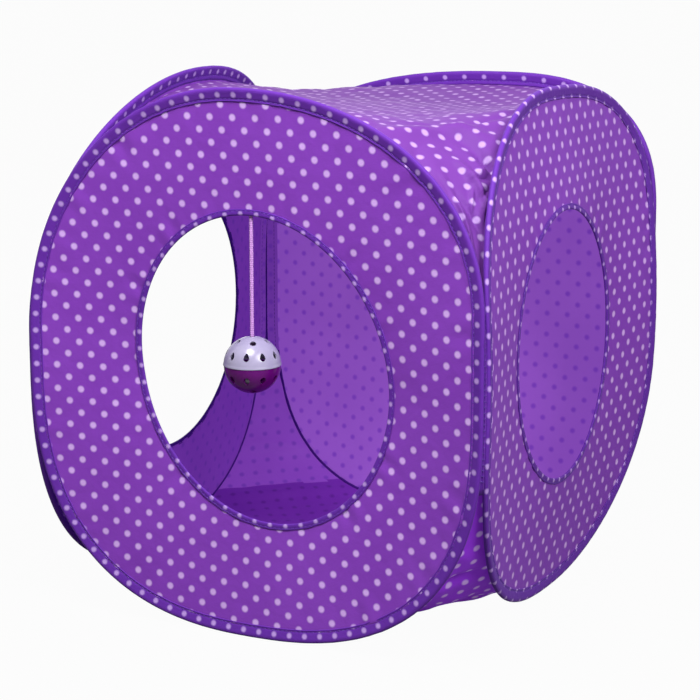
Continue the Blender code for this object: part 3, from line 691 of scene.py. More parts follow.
def crimped_sleeve(side, place, along):
    """A short tube, drawn in at its ends and pinched on to both wire ends."""
    bpy.ops.object.select_all(action="DESELECT")
    bpy.ops.mesh.primitive_cylinder_add(vertices=20, radius=SLEEVE_RADIUS, depth=SLEEVE_LENGTH)
    piece = bpy.context.object
    piece.name = piece.data.name = side + "_crimp_sleeve"
    bpy.ops.object.mode_set(mode="EDIT")
    for height in SLEEVE_CUTS:
        bpy.ops.mesh.select_all(action="SELECT")
        bpy.ops.mesh.bisect(plane_co=(0, 0, height), plane_no=(0, 0, 1))
    bpy.ops.object.mode_set(mode="OBJECT")
    for vertex in piece.data.vertices:
        height = abs(vertex.co.z)
        crimped = abs(height - CRIMP_HEIGHT) < 0.0002
        pinch = CRIMP_WAIST if crimped else RIM_WAIST if height > RIM_HEIGHT else 1.0
        vertex.co.x *= pinch
        vertex.co.y *= pinch
    turn = along.to_track_quat("Z", "Y").to_matrix().to_4x4()
    piece.data.transform(Matrix.Translation(place) @ turn)
    piece.data.materials.append(steel)
    pick(piece)
    bpy.ops.object.shade_smooth_by_angle(angle=math.radians(35))
    return piece


wires = {}
for side in QUARTERS:
    wire, joint, along = sewn_wire(side)
    sleeve = crimped_sleeve(side, joint, along)
    wires[side] = [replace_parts(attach(wire, side), side + "_wire"),
                   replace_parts(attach(sleeve, side), side + "_ferrule")]
print("wires and sleeves", len(wires) * 2)

# %% [markdown]
# The top and the floor are unframed cloth, sewn to the loops' tapes. The first thing they need is the
# line that they are sewn to: it follows each loop's corner, a little inside the wire and behind it,
# from the end of the upright seam to the crest or foot.

# %% Sewn edges
COVER_STEPS = 76
CHORD_STEPS = 56
# The upright seam ends this far over and under the middle
SEAM_END = 0.056
# How far inside the wire a cover is sewn on, at the top and at the foot. It eases in over this share of
# the corner, from that same share of the distance
SEWN_DROPS = {True: 0.0090, False: 0.0070}
DROP_EASE = 0.12
SEWN_BEHIND = 0.0016


def sewn_edge(side, right, top):
    """The line on a loop's tape that a cover is sewn to, from the corner's seam to the crest or foot."""
    dense = corner_line(side, right, top)
    dense = dense[np.abs(dense[:, 1]) >= SEAM_END]
    line = even(dense, COVER_STEPS + 1)
    along = np.gradient(line, axis=0)
    normal = np.column_stack([-along[:, 1], along[:, 0]])
    normal /= np.linalg.norm(normal, axis=1)[:, None]
    normal *= np.sign(-(normal * line).sum(axis=1))[:, None]
    share = np.linspace(0, 1, COVER_STEPS + 1)
    drop = SEWN_DROPS[top] * np.clip(share / DROP_EASE, DROP_EASE, 1)
    place = line + normal * drop[:, None]
    return stand(side, place, bow(side, line[:, 1]) + SEWN_BEHIND)


print("sewn edge", COVER_STEPS + 1, "points, to", [round(v, 4) for v in sewn_edge("front", True, True)[-1]])

# %% [markdown]
# Cloth was eased in at the corners, so it creases there. The creases are listed one by one, as soft ridges
# and valleys that run from one place on the corner's cloth to another and fade at both ends. The front
# right corner at the top has most of them, since the photograph shows that one. Under them lies a fine
# uneven ripple, the sum of twelve waves in all directions.

# %% Creases and ripples
# The length of a corner's cloth from the seam to the crest, in metres
CORNER_LENGTH = 0.24
# For each top corner: start and end (share up the corner, share across it), width and height in metres
CREASES = {
    0: ((0.30, 0.95, 0.52, 0.55, 0.0055, 0.0042), (0.42, 0.98, 0.66, 0.62, 0.0060, -0.0040),
        (0.55, 1.00, 0.80, 0.45, 0.0080, 0.0034), (0.22, 0.80, 0.40, 0.30, 0.0060, -0.0030),
        (0.62, 0.05, 0.74, 0.95, 0.0090, 0.0040), (0.12, 0.50, 0.45, 0.35, 0.0045, 0.0028),
        (0.70, 0.70, 0.90, 0.98, 0.0070, -0.0028), (0.36, 0.05, 0.60, 0.40, 0.0080, -0.0026),
        (0.44, 0.99, 0.54, 0.78, 0.0032, -0.0034), (0.42, 0.99, 0.45, 0.70, 0.0030, -0.0034),
        (0.40, 0.99, 0.34, 0.74, 0.0030, -0.0032), (0.38, 0.97, 0.26, 0.86, 0.0028, -0.0028),
        (0.40, 0.72, 0.30, 0.60, 0.0040, 0.0024), (0.47, 0.90, 0.42, 0.62, 0.0030, 0.0026)),
    1: ((0.20, 0.30, 0.60, 0.55, 0.0070, 0.0040), (0.35, 0.95, 0.65, 0.50, 0.0070, -0.0040),
        (0.60, 0.10, 0.72, 0.90, 0.0090, 0.0036), (0.15, 0.70, 0.40, 0.60, 0.0050, 0.0030)),
    2: ((0.25, 0.80, 0.62, 0.45, 0.0070, 0.0040), (0.40, 0.10, 0.70, 0.55, 0.0080, -0.0038),
        (0.62, 0.05, 0.74, 0.95, 0.0090, 0.0036), (0.15, 0.40, 0.45, 0.30, 0.0050, 0.0030)),
    3: ((0.22, 0.25, 0.60, 0.60, 0.0070, 0.0042), (0.40, 0.90, 0.66, 0.40, 0.0080, -0.0038),
        (0.64, 0.10, 0.76, 0.90, 0.0090, 0.0034), (0.12, 0.60, 0.40, 0.72, 0.0050, 0.0030))}
# Down at the foot the cloth is pulled into folds that run from loop to loop, alike in all four corners
FOOT_CREASES = ((0.26, 0.02, 0.31, 0.98, 0.0060, 0.0010), (0.42, 0.02, 0.38, 0.98, 0.0060, -0.0040),
                (0.52, 0.02, 0.56, 0.98, 0.0070, 0.0006), (0.68, 0.04, 0.66, 0.96, 0.0090, -0.0034))


def crease_depth(share, across, chord, creases):
    """How far creases push a corner's cloth out or in: share runs up the corner, across from loop to loop."""
    total = 0.0
    for s0, r0, s1, r1, width, height in creases:
        run = np.array((s1 - s0, r1 - r0))
        t = np.clip(((share - s0) * run[0] + (across - r0) * run[1]) / (run @ run), 0, 1)
        off = np.hypot((share - s0 - t * run[0]) * CORNER_LENGTH, (across - r0 - t * run[1]) * chord)
        faded = np.sin(np.pi * np.clip(t, 0.02, 0.98)) ** 0.6
        total = total + height * np.exp(-(off / width) ** 2) * faded
    return total


WAVES, SHORTEST_WAVE, LONGEST_WAVE = 12, 0.014, 0.045


def wrinkles(flat, seed, slope):
    """Fine uneven ripples of loosely held cloth at flat places, in metres: waves of that slope, added up."""
    chance = np.random.default_rng(seed)
    total = 0.0
    for _ in range(WAVES):
        turn, wave = chance.uniform(0, np.pi), chance.uniform(SHORTEST_WAVE, LONGEST_WAVE)
        start = chance.uniform(0, 6.28)
        run = flat[..., 0] * math.cos(turn) + flat[..., 1] * math.sin(turn)
        total = total + np.sin(2 * np.pi * run / wave + start) * wave * slope / (2 * np.pi)
    return total


print("creases", [len(c) for c in CREASES.values()], "at the top,", len(FOOT_CREASES), "at each foot corner")

# %% [markdown]
# A cover is drawn flat over the middle, between the four crests. In each corner the cloth drops between
# two loops towards the upright seam. Straight lines run there from one loop's corner to the other's,
# which makes a smooth fold that turns from level to upright. Each cover is made as four gores, one to a
# side, so that each rides its own side. A gore is a quarter of the middle and the near halves of two
# corners. The gores meet without a gap. A cloth simulation was not used: this cloth hangs on curved edges
# on every side, and the straight lines already are the shape that pulled cloth takes.

# %% Covers
CORNER_SIDES = (("front", "right"), ("right", "back"), ("back", "left"), ("left", "front"))
# Each side's quarter of the middle: its rows, then its columns, are the near or the far half
MIDDLE_QUARTERS = {"front": (0, 0), "right": (0, 1), "back": (1, 1), "left": (1, 0)}
# Creases are held flat over these shares of the cloth, beside the loops and below the crest
HELD_ACROSS, HELD_UP = 0.05, 0.1
CORNER_SLOPE, MIDDLE_SLOPE = 0.028, 0.022


def cover(name, top, sag, start, outer, inner):
    """A whole cover as four gores: how far its middle sags, and how far in from the loops that starts."""
    sign = 1.0 if top else -1.0
    patches, chords = {side: [] for side in QUARTERS}, []
    share = np.linspace(0, 1, COVER_STEPS + 1)[:, None]
    across = np.linspace(0, 1, CHORD_STEPS + 1)[None]
    near, far = slice(0, CHORD_STEPS // 2 + 1), slice(CHORD_STEPS // 2, None)
    for number, (first, second) in enumerate(CORNER_SIDES):
        a, b = sewn_edge(first, True, top), sewn_edge(second, False, top)
        crest = (a[-1] + b[-1]) / 2
        e1 = (b[-1] - a[-1])[:2] / np.linalg.norm((b[-1] - a[-1])[:2])
        e2 = np.array((e1[1], -e1[0]))
        travel = np.linalg.norm(np.diff((a + b) / 2, axis=0), axis=1)
        down = np.r_[np.cumsum(travel[::-1])[::-1], 0]
        chord = np.linalg.norm(b - a, axis=1)[:, None]
        flat = crest[:2] + e2 * down[:, None, None] + e1 * ((across - 0.5) * chord)[..., None]
        lift = crease_depth(share, across, chord, CREASES[number] if top else FOOT_CREASES)
        lift = lift + wrinkles(flat, 70 + number, CORNER_SLOPE)
        hold = np.minimum(np.minimum(across, 1 - across) / HELD_ACROSS, 1)
        hold = hold * np.minimum((1 - share) / HELD_UP, 1)
        tip = share * math.pi / 2
        push = np.concatenate([e2[0] * np.cos(tip), e2[1] * np.cos(tip), sign * np.sin(tip)], axis=1)
        points = a[:, None] + (b - a)[:, None] * across[..., None] + push[:, None] * (lift * hold)[..., None]
        chords.append(points[-1].copy())
        patches[first].append((points[:, near].copy(), flat[:, near]))
        patches[second].append((points[:, far].copy(), flat[:, far]))
    fr, br, bl, fl = chords
    p = np.linspace(0, 1, CHORD_STEPS + 1)[None, :, None]
    q = np.linspace(0, 1, CHORD_STEPS + 1)[:, None, None]
    south, north, east, west = fr[None], bl[::-1][None], br[:, None], fl[::-1][:, None]
    corners = (1 - p) * (1 - q) * fr[0] + p * (1 - q) * fr[-1] + p * q * br[-1] + (1 - p) * q * fl[0]
    middle = (1 - q) * south + q * north + (1 - p) * west + p * east - corners
    halves = (near, far)
    for side, (row, column) in MIDDLE_QUARTERS.items():
        quarter = middle[halves[row], halves[column]]
        patches[side].append((quarter.copy(), quarter[..., :2].copy()))
    return {side: gore(f"{name}_{side}", patches[side], top, sag, start, outer, inner) for side in QUARTERS}


# The sag is spent this far in from where it starts, and the ripple begins and is full this far in
SAG_REACH, RIPPLE_START, RIPPLE_REACH = 0.11, 0.008, 0.03
CLEAR_OF_GROUND = 0.0002


def gore(name, patches, top, sag, start, outer, inner):
    """One side's share of a cover, sagged, rippled, merged into one sheet and thickened."""
    # Three grids first: two half corners and a quarter of the middle
    pieces = []
    for number, (points, flat) in enumerate(patches):
        inside = np.minimum(PLANE - np.abs(points[..., 0]), PLANE - np.abs(points[..., 1]))
        share = np.clip((inside - start) / SAG_REACH, 0, 1)
        points[..., 2] -= sag * share * share * (3 - 2 * share)
        rippled = np.clip((inside - RIPPLE_START) / RIPPLE_REACH, 0, 1)
        points[..., 2] += wrinkles(points[..., :2], 90, MIDDLE_SLOPE) * rippled
        if not top:
            points[..., 2] = np.maximum(points[..., 2], CLOTH + CLEAR_OF_GROUND)
        pieces.append(lay(name + str(number), points, flat, closed=False))
    bpy.ops.object.select_all(action="DESELECT")
    for piece in pieces:
        piece.select_set(True)
    bpy.context.view_layer.objects.active = pieces[0]
    bpy.ops.object.join()
    piece = bpy.context.object
    piece.name = piece.data.name = name
    bpy.ops.object.mode_set(mode="EDIT")
    bpy.ops.mesh.select_all(action="SELECT")
    bpy.ops.mesh.remove_doubles(threshold=0.00005)
    bpy.ops.mesh.normals_make_consistent(inside=False)
    bpy.ops.object.mode_set(mode="OBJECT")
    # The outer face looks up on a top gore and down on a floor gore
    upwards = sum(face.normal.z * face.area for face in piece.data.polygons)
    if (upwards > 0) != top:
        bpy.ops.object.mode_set(mode="EDIT")
        bpy.ops.mesh.flip_normals()
        bpy.ops.object.mode_set(mode="OBJECT")
    thicken(piece, CLOTH, outer, inner)
    bpy.ops.object.shade_smooth_by_angle(angle=math.radians(60))
    return piece


# Above this height the foot's corners stand up between the loops and take light from behind
GUSSET_FOOT = 0.026
top_gores = cover("top_cover", True, 0.011, 0.0, top_cloth_painted_shade, side_lining)
floor_gores = cover("floor_cover", False, 0.012, 0.05, foot_cloth_painted_light, floor_lining)
for piece in floor_gores.values():
    piece.data.materials.append(gusset_lining)
    for face in piece.data.polygons:
        if face.material_index == 1 and face.center.z > GUSSET_FOOT:
            face.material_index = 2
for gores, node in ((top_gores, "top_panel"), (floor_gores, "floor_panel")):
    for side, piece in gores.items():
        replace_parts(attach(piece, side), node)
print("gores", [len(p.data.polygons) for p in (*top_gores.values(), *floor_gores.values())])

# %% [markdown]
# Where two loops meet they are sewn together down the upright. Thread is wound round both tapes, turn
# after turn. The turns are one thread here: a flattened helix round the line between the two loops. On
# the inside a narrow tape covers the gap.

# %% Upright seams
def thread_finish():
    """Twisted polyester thread: slanting bands of two purples, half matt."""
    made, tree, shader = material("polyester_thread_purple")
    place = add(tree, "ShaderNodeTexCoord").outputs["Object"]
    twist = add(tree, "ShaderNodeTexWave", {"Vector": place, "Scale": 500.0, "Distortion": 1.0},
                bands_direction="DIAGONAL")
    shade = add(tree, "ShaderNodeMix", {0: twist.outputs["Fac"], 6: linear("#3F1C78"), 7: linear("#6A3BAA")},
                data_type="RGBA")
    tree.links.new(shade.outputs[2], shader.inputs["Base Color"])
    shader.inputs["Roughness"].default_value = 0.6
    return made


thread = thread_finish()
# Turns of thread and points to a turn, over this height to both sides of the middle
SEAM_TURNS, TURN_POINTS, SEAM_REACH = 30, 12, 0.060
THREAD_RADIUS = 0.00035
# The helix is this much wider than the gap, drawn in to this share of that, and stands off this far
THREAD_PAST_WIRES, THREAD_SHARE, THREAD_LIFT = 0.0012, 0.45, 0.0009
# The strip: its length against the seam's, its rows as shares of the gap, how far inside it lies, and
# the flat width that its print is laid out on
STRIP_LENGTH, STRIP_SHARES, STRIP_INSIDE, STRIP_WIDTH = 1.15, (-0.5, -0.2, 0.2, 0.5), 0.0006, 0.002


def meeting_lines(first, second, heights):
    """The two loops' uprights at those heights: first meets second with its right upright."""
    lines = []
    for side, right in ((first, True), (second, False)):
        upper, lower = corner_line(side, right, True), corner_line(side, right, False)
        line = np.vstack([lower[::-1], upper])
        order = np.argsort(line[:, 1])
        across = np.interp(heights, line[order, 1], line[order, 0])
        lines.append(stand(side, np.column_stack([across, heights]), bow(side, heights)))
    return lines


def seam_strip(name, first, second):
    """A narrow tape down the inside of a seam, from one loop's tape to the other's."""
    heights = np.linspace(-STRIP_LENGTH * SEAM_REACH, STRIP_LENGTH * SEAM_REACH, 25)
    lines = meeting_lines(first, second, heights)
    centre, half = (lines[0] + lines[1]) / 2, (lines[1] - lines[0]) / 2
    inwards = -centre * (1, 1, 0) / np.linalg.norm(centre[:, :2], axis=1)[:, None]
    points, flat = [], []
    for share in STRIP_SHARES:
        points.append(centre + half * share + inwards * STRIP_INSIDE)
        flat.append(np.column_stack([np.full(len(heights), share * STRIP_WIDTH), heights]))
    return thicken(lay(name, np.array(points), np.array(flat), closed=False), TAPE, tape_cloth, tape_cloth)


def upright_seam(name, first, second):
    """A thread wound round the meeting edges of two loops, first on its right and second on its left."""
    heights = np.linspace(-SEAM_REACH, SEAM_REACH, SEAM_TURNS * TURN_POINTS + 1)
    lines = meeting_lines(first, second, heights)
    centre = (lines[0] + lines[1]) / 2
    apart = lines[1] - lines[0]
    apart /= np.linalg.norm(apart, axis=1)[:, None]
    out = np.cross(apart, (0.0, 0.0, 1.0))
    half = np.linalg.norm(lines[1] - lines[0], axis=1) / 2 + THREAD_PAST_WIRES
    angle = np.linspace(0, 2 * np.pi * SEAM_TURNS, len(heights))
    path = centre + apart * (half * THREAD_SHARE * np.cos(angle))[:, None]
    path = path + out * (THREAD_LIFT * np.sin(angle))[:, None]
    curve = bpy.data.curves.new(name, "CURVE")
    curve.dimensions = "3D"
    curve.bevel_depth = THREAD_RADIUS
    curve.bevel_resolution = 1
    curve.use_fill_caps = True
    spline = curve.splines.new("POLY")
    spline.points.add(len(path) - 1)
    spline.points.foreach_set("co", np.column_stack([path, np.ones(len(path))]).reshape(-1))
    curve.materials.append(thread)
    piece = bpy.data.objects.new(name, curve)
    bpy.context.scene.collection.objects.link(piece)
    pick(piece)
    bpy.ops.object.convert(target="MESH")
    return bpy.context.object


# The CAD node, the side that meets with its right edge, the one that meets with its left, and the rider
SEAMS = (("front_right_seam", "front", "right", "front"), ("back_right_seam", "right", "back", "right"),
         ("back_left_seam", "back", "left", "left"), ("front_left_seam", "left", "front", "front"))
seam_pieces = []
for node, first, second, body in SEAMS:
    piece = upright_seam(node.replace("_seam", "_whipping"), first, second)
    seam_pieces.append(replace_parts(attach(piece, body), node))
    strip = seam_strip(node.replace("_seam", "_seam_strip"), first, second)
    seam_pieces.append(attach(strip, body))
print("seams", len(seam_pieces))

# %% [markdown]
# A running stitch holds each tape's two leaves together. One stitch is modelled: a tiny cylinder whose
# ends are drawn in and dip into the cloth. Its points are then set along the valley of every tape, on
# both faces.

# %% One stitch
STITCH_RADIUS, STITCH_LENGTH, STITCH_CUT = 0.00026, 0.0026, 0.0007
# Past this height a stitch's end begins: it keeps this share of its width and dips this deep
STITCH_END, END_SHARE, END_DIP = 0.001, 0.45, 0.00035
bpy.ops.object.select_all(action="DESELECT")
bpy.ops.mesh.primitive_cylinder_add(vertices=6, radius=STITCH_RADIUS, depth=STITCH_LENGTH)
stitch = bpy.context.object
bpy.ops.object.mode_set(mode="EDIT")
for height in (-STITCH_CUT, STITCH_CUT):
    bpy.ops.mesh.select_all(action="SELECT")
    bpy.ops.mesh.bisect(plane_co=(0, 0, height), plane_no=(0, 0, 1))
bpy.ops.object.mode_set(mode="OBJECT")
STITCH_POINTS = np.array([v.co for v in stitch.data.vertices])
STITCH_POINTS[:, :2] *= np.where(np.abs(STITCH_POINTS[:, 2:]) > STITCH_END, END_SHARE, 1.0)
STITCH_POINTS[:, 0] -= np.where(np.abs(STITCH_POINTS[:, 2]) > STITCH_END, END_DIP, 0.0)
STITCH_FACES = [tuple(face.vertices) for face in stitch.data.polygons]
bpy.data.objects.remove(stitch)
print("a stitch has", len(STITCH_FACES), "faces")

# %% Stitch rows
STITCH_PITCH = 0.0036
# How far the row lies from the wire or from the opening's edge, and its height over the cloth
STITCH_ROWS = {"loop": (0.0058, 0.00085), "opening": (0.0026, 0.00062)}


def stitched_row(name, path, out):
    """Copies of the stitch along a closed path, each turned to the path and to its face."""
    count = int(np.linalg.norm(np.diff(path, axis=0), axis=1).sum() / STITCH_PITCH)
    closed = np.vstack([path, path[:1]])
    lengths = np.r_[0, np.cumsum(np.linalg.norm(np.diff(closed, axis=0), axis=1))]
    points, faces = [], []
    outs = np.vstack([out, out[:1]])
    for where in np.linspace(0, lengths[-1], count, endpoint=False):
        at = np.array([np.interp(where, lengths, closed[:, k]) for k in range(3)])
        ahead = np.array([np.interp((where + 0.001) % lengths[-1], lengths, closed[:, k]) for k in range(3)])
        face_out = np.array([np.interp(where, lengths, outs[:, k]) for k in range(3)])
        along = (ahead - at) / np.linalg.norm(ahead - at)
        face_out = face_out - along * (face_out @ along)
        face_out /= np.linalg.norm(face_out)
        side_on = np.cross(along, face_out)
        faces += [tuple(i + len(points) for i in face) for face in STITCH_FACES]
        points += list(at + STITCH_POINTS @ np.array([face_out, side_on, along]))
    mesh = bpy.data.meshes.new(name)
    mesh.from_pydata([tuple(p) for p in points], [], faces)
    mesh.materials.append(thread)
    piece = bpy.data.objects.new(name, mesh)
    bpy.context.scene.collection.objects.link(piece)
    pick(piece)
    bpy.ops.object.shade_smooth_by_angle(angle=math.radians(50))
    return piece


def plane_middle(side, depth=0.0):
    """The middle of a side's plane, or the point that lies a depth inwards from it."""
    return stand(side, np.zeros((1, 2)), np.array([depth]))[0]


def outwards(side):
    """The unit vector that points out of a side."""
    return plane_middle(side, -1.0) - plane_middle(side)


stitch_rows = []
for side in QUARTERS:
    line, hole = LOOPS[side], hole_line(side)
    run = np.linalg.norm(hole - line, axis=1)
    fall = (hole_depth(side) - bow(side, line[:, 1])) / run
    place, lift = STITCH_ROWS["loop"]
    rows = [("loop", line + inward_of(line) * place, bow(side, line[:, 1]) + fall * place, lift)]
    if side in HOLES:
        place, lift = STITCH_ROWS["opening"]
        rows.append(("opening", hole - inward_of(hole) * place, hole_depth(side) - fall * place, lift))
    for kind, path, depth, lift in rows:
        for face, way in (("outer", 1.0), ("inner", -1.0)):
            out = np.tile(outwards(side) * way, (STATIONS, 1))
            piece = stitched_row(f"{side}_{kind}_{face}_stitches", stand(side, path, depth - lift * way), out)
            stitch_rows.append((side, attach(piece, side)))
print("stitch rows", len(stitch_rows))

# %% [markdown]
# The rattle ball is two injection-moulded halves. The upper one is white polypropylene, opaque and
# glossy, with faint flow marks. It is drawn a lilac grey: painted shade and painted purple light from the
# cloth round it. The lower one is clear polystyrene dyed a dark magenta, so dark that only a little
# light comes through.

# %% Ball finishes
def moulded_white_painted_shade():
    """Glossy white polypropylene with very shallow flow marks, drawn a lilac grey as painted shade and purple
    light.
    """
    made, tree, shader = material("polypropylene_white_gloss_painted_shade")
    place = add(tree, "ShaderNodeTexCoord").outputs["Object"]
    flow = add(tree, "ShaderNodeTexNoise", {"Vector": place, "Scale": 160.0, "Detail": 2.0})
    # Painted shade and painted purple light: both colours are a lilac grey, not white.
    shade = add(tree, "ShaderNodeMix", {0: flow.outputs["Fac"], 6: linear("#8D86A3"), 7: linear("#9B94B0")},
                data_type="RGBA")
    bump = add(tree, "ShaderNodeBump", {"Strength": 0.08, "Distance": 0.0002, "Height": flow.outputs["Fac"]})
    tree.links.new(shade.outputs[2], shader.inputs["Base Color"])
    tree.links.new(bump.outputs[0], shader.inputs["Normal"])
    shader.inputs["Roughness"].default_value = 0.22
    shader.inputs["IOR"].default_value = 1.49
    return made


def moulded_magenta():
    """Dark dyed clear polystyrene: a hard gloss over a deep colour."""
    made, tree, shader = material("polystyrene_dark_magenta_clear")
    place = add(tree, "ShaderNodeTexCoord").outputs["Object"]
    flow = add(tree, "ShaderNodeTexNoise", {"Vector": place, "Scale": 120.0, "Detail": 2.0})
    shade = add(tree, "ShaderNodeMix", {0: flow.outputs["Fac"], 6: linear("#560660"), 7: linear("#6C0B78")},
                data_type="RGBA")
    tree.links.new(shade.outputs[2], shader.inputs["Base Color"])
    shader.inputs["Roughness"].default_value = 0.10
    shader.inputs["IOR"].default_value = 1.59
    shader.inputs["Specular IOR Level"].default_value = 0.25
    shader.inputs["Transmission Weight"].default_value = 0.10
    return made


white_plastic, magenta_plastic = moulded_white_painted_shade(), moulded_magenta()
print("ball finishes", white_plastic.name, magenta_plastic.name)

# %% [markdown]
# Each half of the ball, and later the bell, is a profile with the wall's thickness in it, spun round
# the upright axis. The doubles on the axis and where the turn closes are merged, and then the normals
# are made to point out of the wall.

# %% Spinning
BALL_CENTRE = Vector((0.0, CORD_LINE[1], 0.204))
BALL_RADIUS, BALL_WALL, BALL_LIP = 0.0206, 0.0012, 0.0002


def spun(name, profile, centre, steps=96):
    """A closed profile of (radius, height) points, spun round the upright line through centre."""
    mesh = bpy.data.meshes.new(name)
    count = len(profile)
    mesh.from_pydata([(r, 0.0, z) for r, z in profile], [(i, (i + 1) % count) for i in range(count)], [])
    piece = bpy.data.objects.new(name, mesh)
    bpy.context.scene.collection.objects.link(piece)
    pick(piece)
    bpy.ops.object.mode_set(mode="EDIT")
    bpy.ops.mesh.select_all(action="SELECT")
    bpy.ops.mesh.spin(steps=steps, angle=2 * math.pi, center=(0, 0, 0), axis=(0, 0, 1))
    bpy.ops.mesh.select_all(action="SELECT")
    bpy.ops.mesh.remove_doubles(threshold=0.000004)
    bpy.ops.mesh.normals_make_consistent(inside=False)
    bpy.ops.object.mode_set(mode="OBJECT")
    piece.data.transform(Matrix.Translation(centre))
    return piece


def dome(radius, first, last, steps):
    """Points of an arc of that radius between two latitudes."""
    return [(radius * math.cos(math.radians(a)), radius * math.sin(math.radians(a)))
            for a in np.linspace(first, last, steps)]


print("ball", round(2000 * BALL_RADIUS, 1), "mm wide, wall", round(1000 * BALL_WALL, 1), "mm")

# %% [markdown]
# Ten pear-shaped slots and five round ports are cut out of each half with a Boolean. One cutter of each
# kind is shaped and copied round. A small bevel then rounds the cut edges, as a mould leaves them.

# %% Cutting the openings
CUTTER_DEPTH = 0.006
# Width, height and how pear-shaped, then how many, the first one's turn and their latitude in degrees
BALL_OPENINGS = (((0.0046, 0.0060, 0.85), 10, 15.8, 25.0), ((0.0045, 0.0045, 0.0), 5, 32.0, 58.0))
# A pear narrows from this share of its height, with this power
NARROW_FROM, NARROW_POWER = 0.30, 1.2
EDGE_ROUNDING = 0.00012


def round_cutter(wide, high, pear):
    """A short plug of the opening's outline, pointing along Z, with its narrow end towards Y."""
    bpy.ops.object.select_all(action="DESELECT")
    bpy.ops.mesh.primitive_cylinder_add(vertices=28, radius=0.5, depth=CUTTER_DEPTH)
    plug = bpy.context.object
    for vertex in plug.data.vertices:
        up = vertex.co.y + 0.5
        narrow = 1.0 - pear * max(0.0, up - NARROW_FROM) ** NARROW_POWER
        vertex.co.x *= wide * narrow
        vertex.co.y *= high
    return plug


def cut_openings(piece, below):
    """Cuts ten slots and five ports into a half, mirrored downwards for the lower one."""
    flip = -1.0 if below else 1.0
    plugs = []
    for plug_size, count, first, latitude in BALL_OPENINGS:
        pattern = round_cutter(*plug_size)
        for number in range(count):
            turn = math.radians(first + 360.0 / count * number)
            rise = math.radians(latitude) * flip
            out = Vector((math.sin(turn) * math.cos(rise), -math.cos(turn) * math.cos(rise), math.sin(rise)))
            east = Vector((math.cos(turn), math.sin(turn), 0.0))
            north = out.cross(east) * flip
            copy = bpy.data.objects.new("plug", pattern.data.copy())
            bpy.context.scene.collection.objects.link(copy)
            axes = Matrix((east, north, east.cross(north))).transposed().to_4x4()
            copy.data.transform(Matrix.Translation(BALL_CENTRE + out * (BALL_RADIUS - BALL_WALL / 2)) @ axes)
            plugs.append(copy)
        bpy.data.objects.remove(pattern)
    bpy.ops.object.select_all(action="DESELECT")
    for plug in plugs:
        plug.select_set(True)
    bpy.context.view_layer.objects.active = plugs[0]
    bpy.ops.object.join()
    cutter = bpy.context.object
    bpy.ops.object.mode_set(mode="EDIT")
    bpy.ops.mesh.select_all(action="SELECT")
    bpy.ops.mesh.normals_make_consistent(inside=False)
    bpy.ops.object.mode_set(mode="OBJECT")
    pick(piece)
    cut = piece.modifiers.new("openings", "BOOLEAN")
    cut.operation = "DIFFERENCE"
    cut.solver = "EXACT"
    cut.object = cutter
    bpy.ops.object.modifier_apply(modifier=cut.name)
    bpy.data.objects.remove(cutter)
    edges = piece.modifiers.new("rounded", "BEVEL")
    edges.width = EDGE_ROUNDING
    edges.segments = 1
    edges.limit_method = "ANGLE"
    edges.angle_limit = math.radians(50)
    bpy.ops.object.modifier_apply(modifier=edges.name)
    bpy.ops.object.shade_smooth_by_angle(angle=math.radians(40))
    return piece


print("openings in each half", sum(count for _, count, _, _ in BALL_OPENINGS))

# %% [markdown]
# The upper half has a hole for the cord at its pole, and a slight lip at its rim where it snaps over
# the lower one. The lower half is a hair smaller and closed at its pole.

# %% Ball halves
CORD_HOLE = 0.0021
# Heights where the lip starts, where it ends and where the ball's own curve takes over
LIP_HEIGHTS = (0.00015, 0.0012, 0.0016)
# Latitudes in degrees: where the outer curve starts over the lip, and where the inner one ends at the rim
OUTER_START, INNER_END = 6.5, 0.45
# The inner curve ends this much before the outer one at the pole, and the lower half is this much less
POLE_STEP, SNAP_GAP = 0.35, 0.0002
LOWER_RADIUS = BALL_RADIUS - SNAP_GAP
pole = math.degrees(math.acos(CORD_HOLE / BALL_RADIUS))
upper_profile = [(BALL_RADIUS + BALL_LIP, LIP_HEIGHTS[0]), (BALL_RADIUS + BALL_LIP, LIP_HEIGHTS[1]),
                 (BALL_RADIUS, LIP_HEIGHTS[2])]
upper_profile += dome(BALL_RADIUS, OUTER_START, pole, 26)
upper_profile += dome(BALL_RADIUS - BALL_WALL, pole - POLE_STEP, INNER_END, 26)
ball_upper = cut_openings(spun("ball_upper_half", upper_profile, BALL_CENTRE), below=False)
ball_upper.data.materials.append(white_plastic)
lower_arcs = dome(LOWER_RADIUS, INNER_END, 90.0, 30) + dome(LOWER_RADIUS - BALL_WALL, 90.0, INNER_END, 30)
lower_profile = [(max(r, 0.0), -z) for r, z in lower_arcs]
ball_lower = cut_openings(spun("ball_lower_half", lower_profile, BALL_CENTRE), below=True)
ball_lower.data.materials.append(magenta_plastic)
for piece, node, slot in ((ball_upper, "ball_upper", "white_plastic"),
                          (ball_lower, "ball_lower", "magenta_plastic")):
    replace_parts(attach(piece, "ball"), node)
    print(piece.name, len(piece.data.polygons), "faces")

# %% [markdown]
# Inside the ball lies a little bell of sheet steel: two pressed cups with a belt where they meet, and a
# slit below. It is spun like the halves, and a block cuts the slit.

# %% Bell
bell_low, bell_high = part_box("bell")
BELL_CENTRE = (bell_low + bell_high) / 2
BELL_RADIUS = (bell_high.x - bell_low.x) / 2
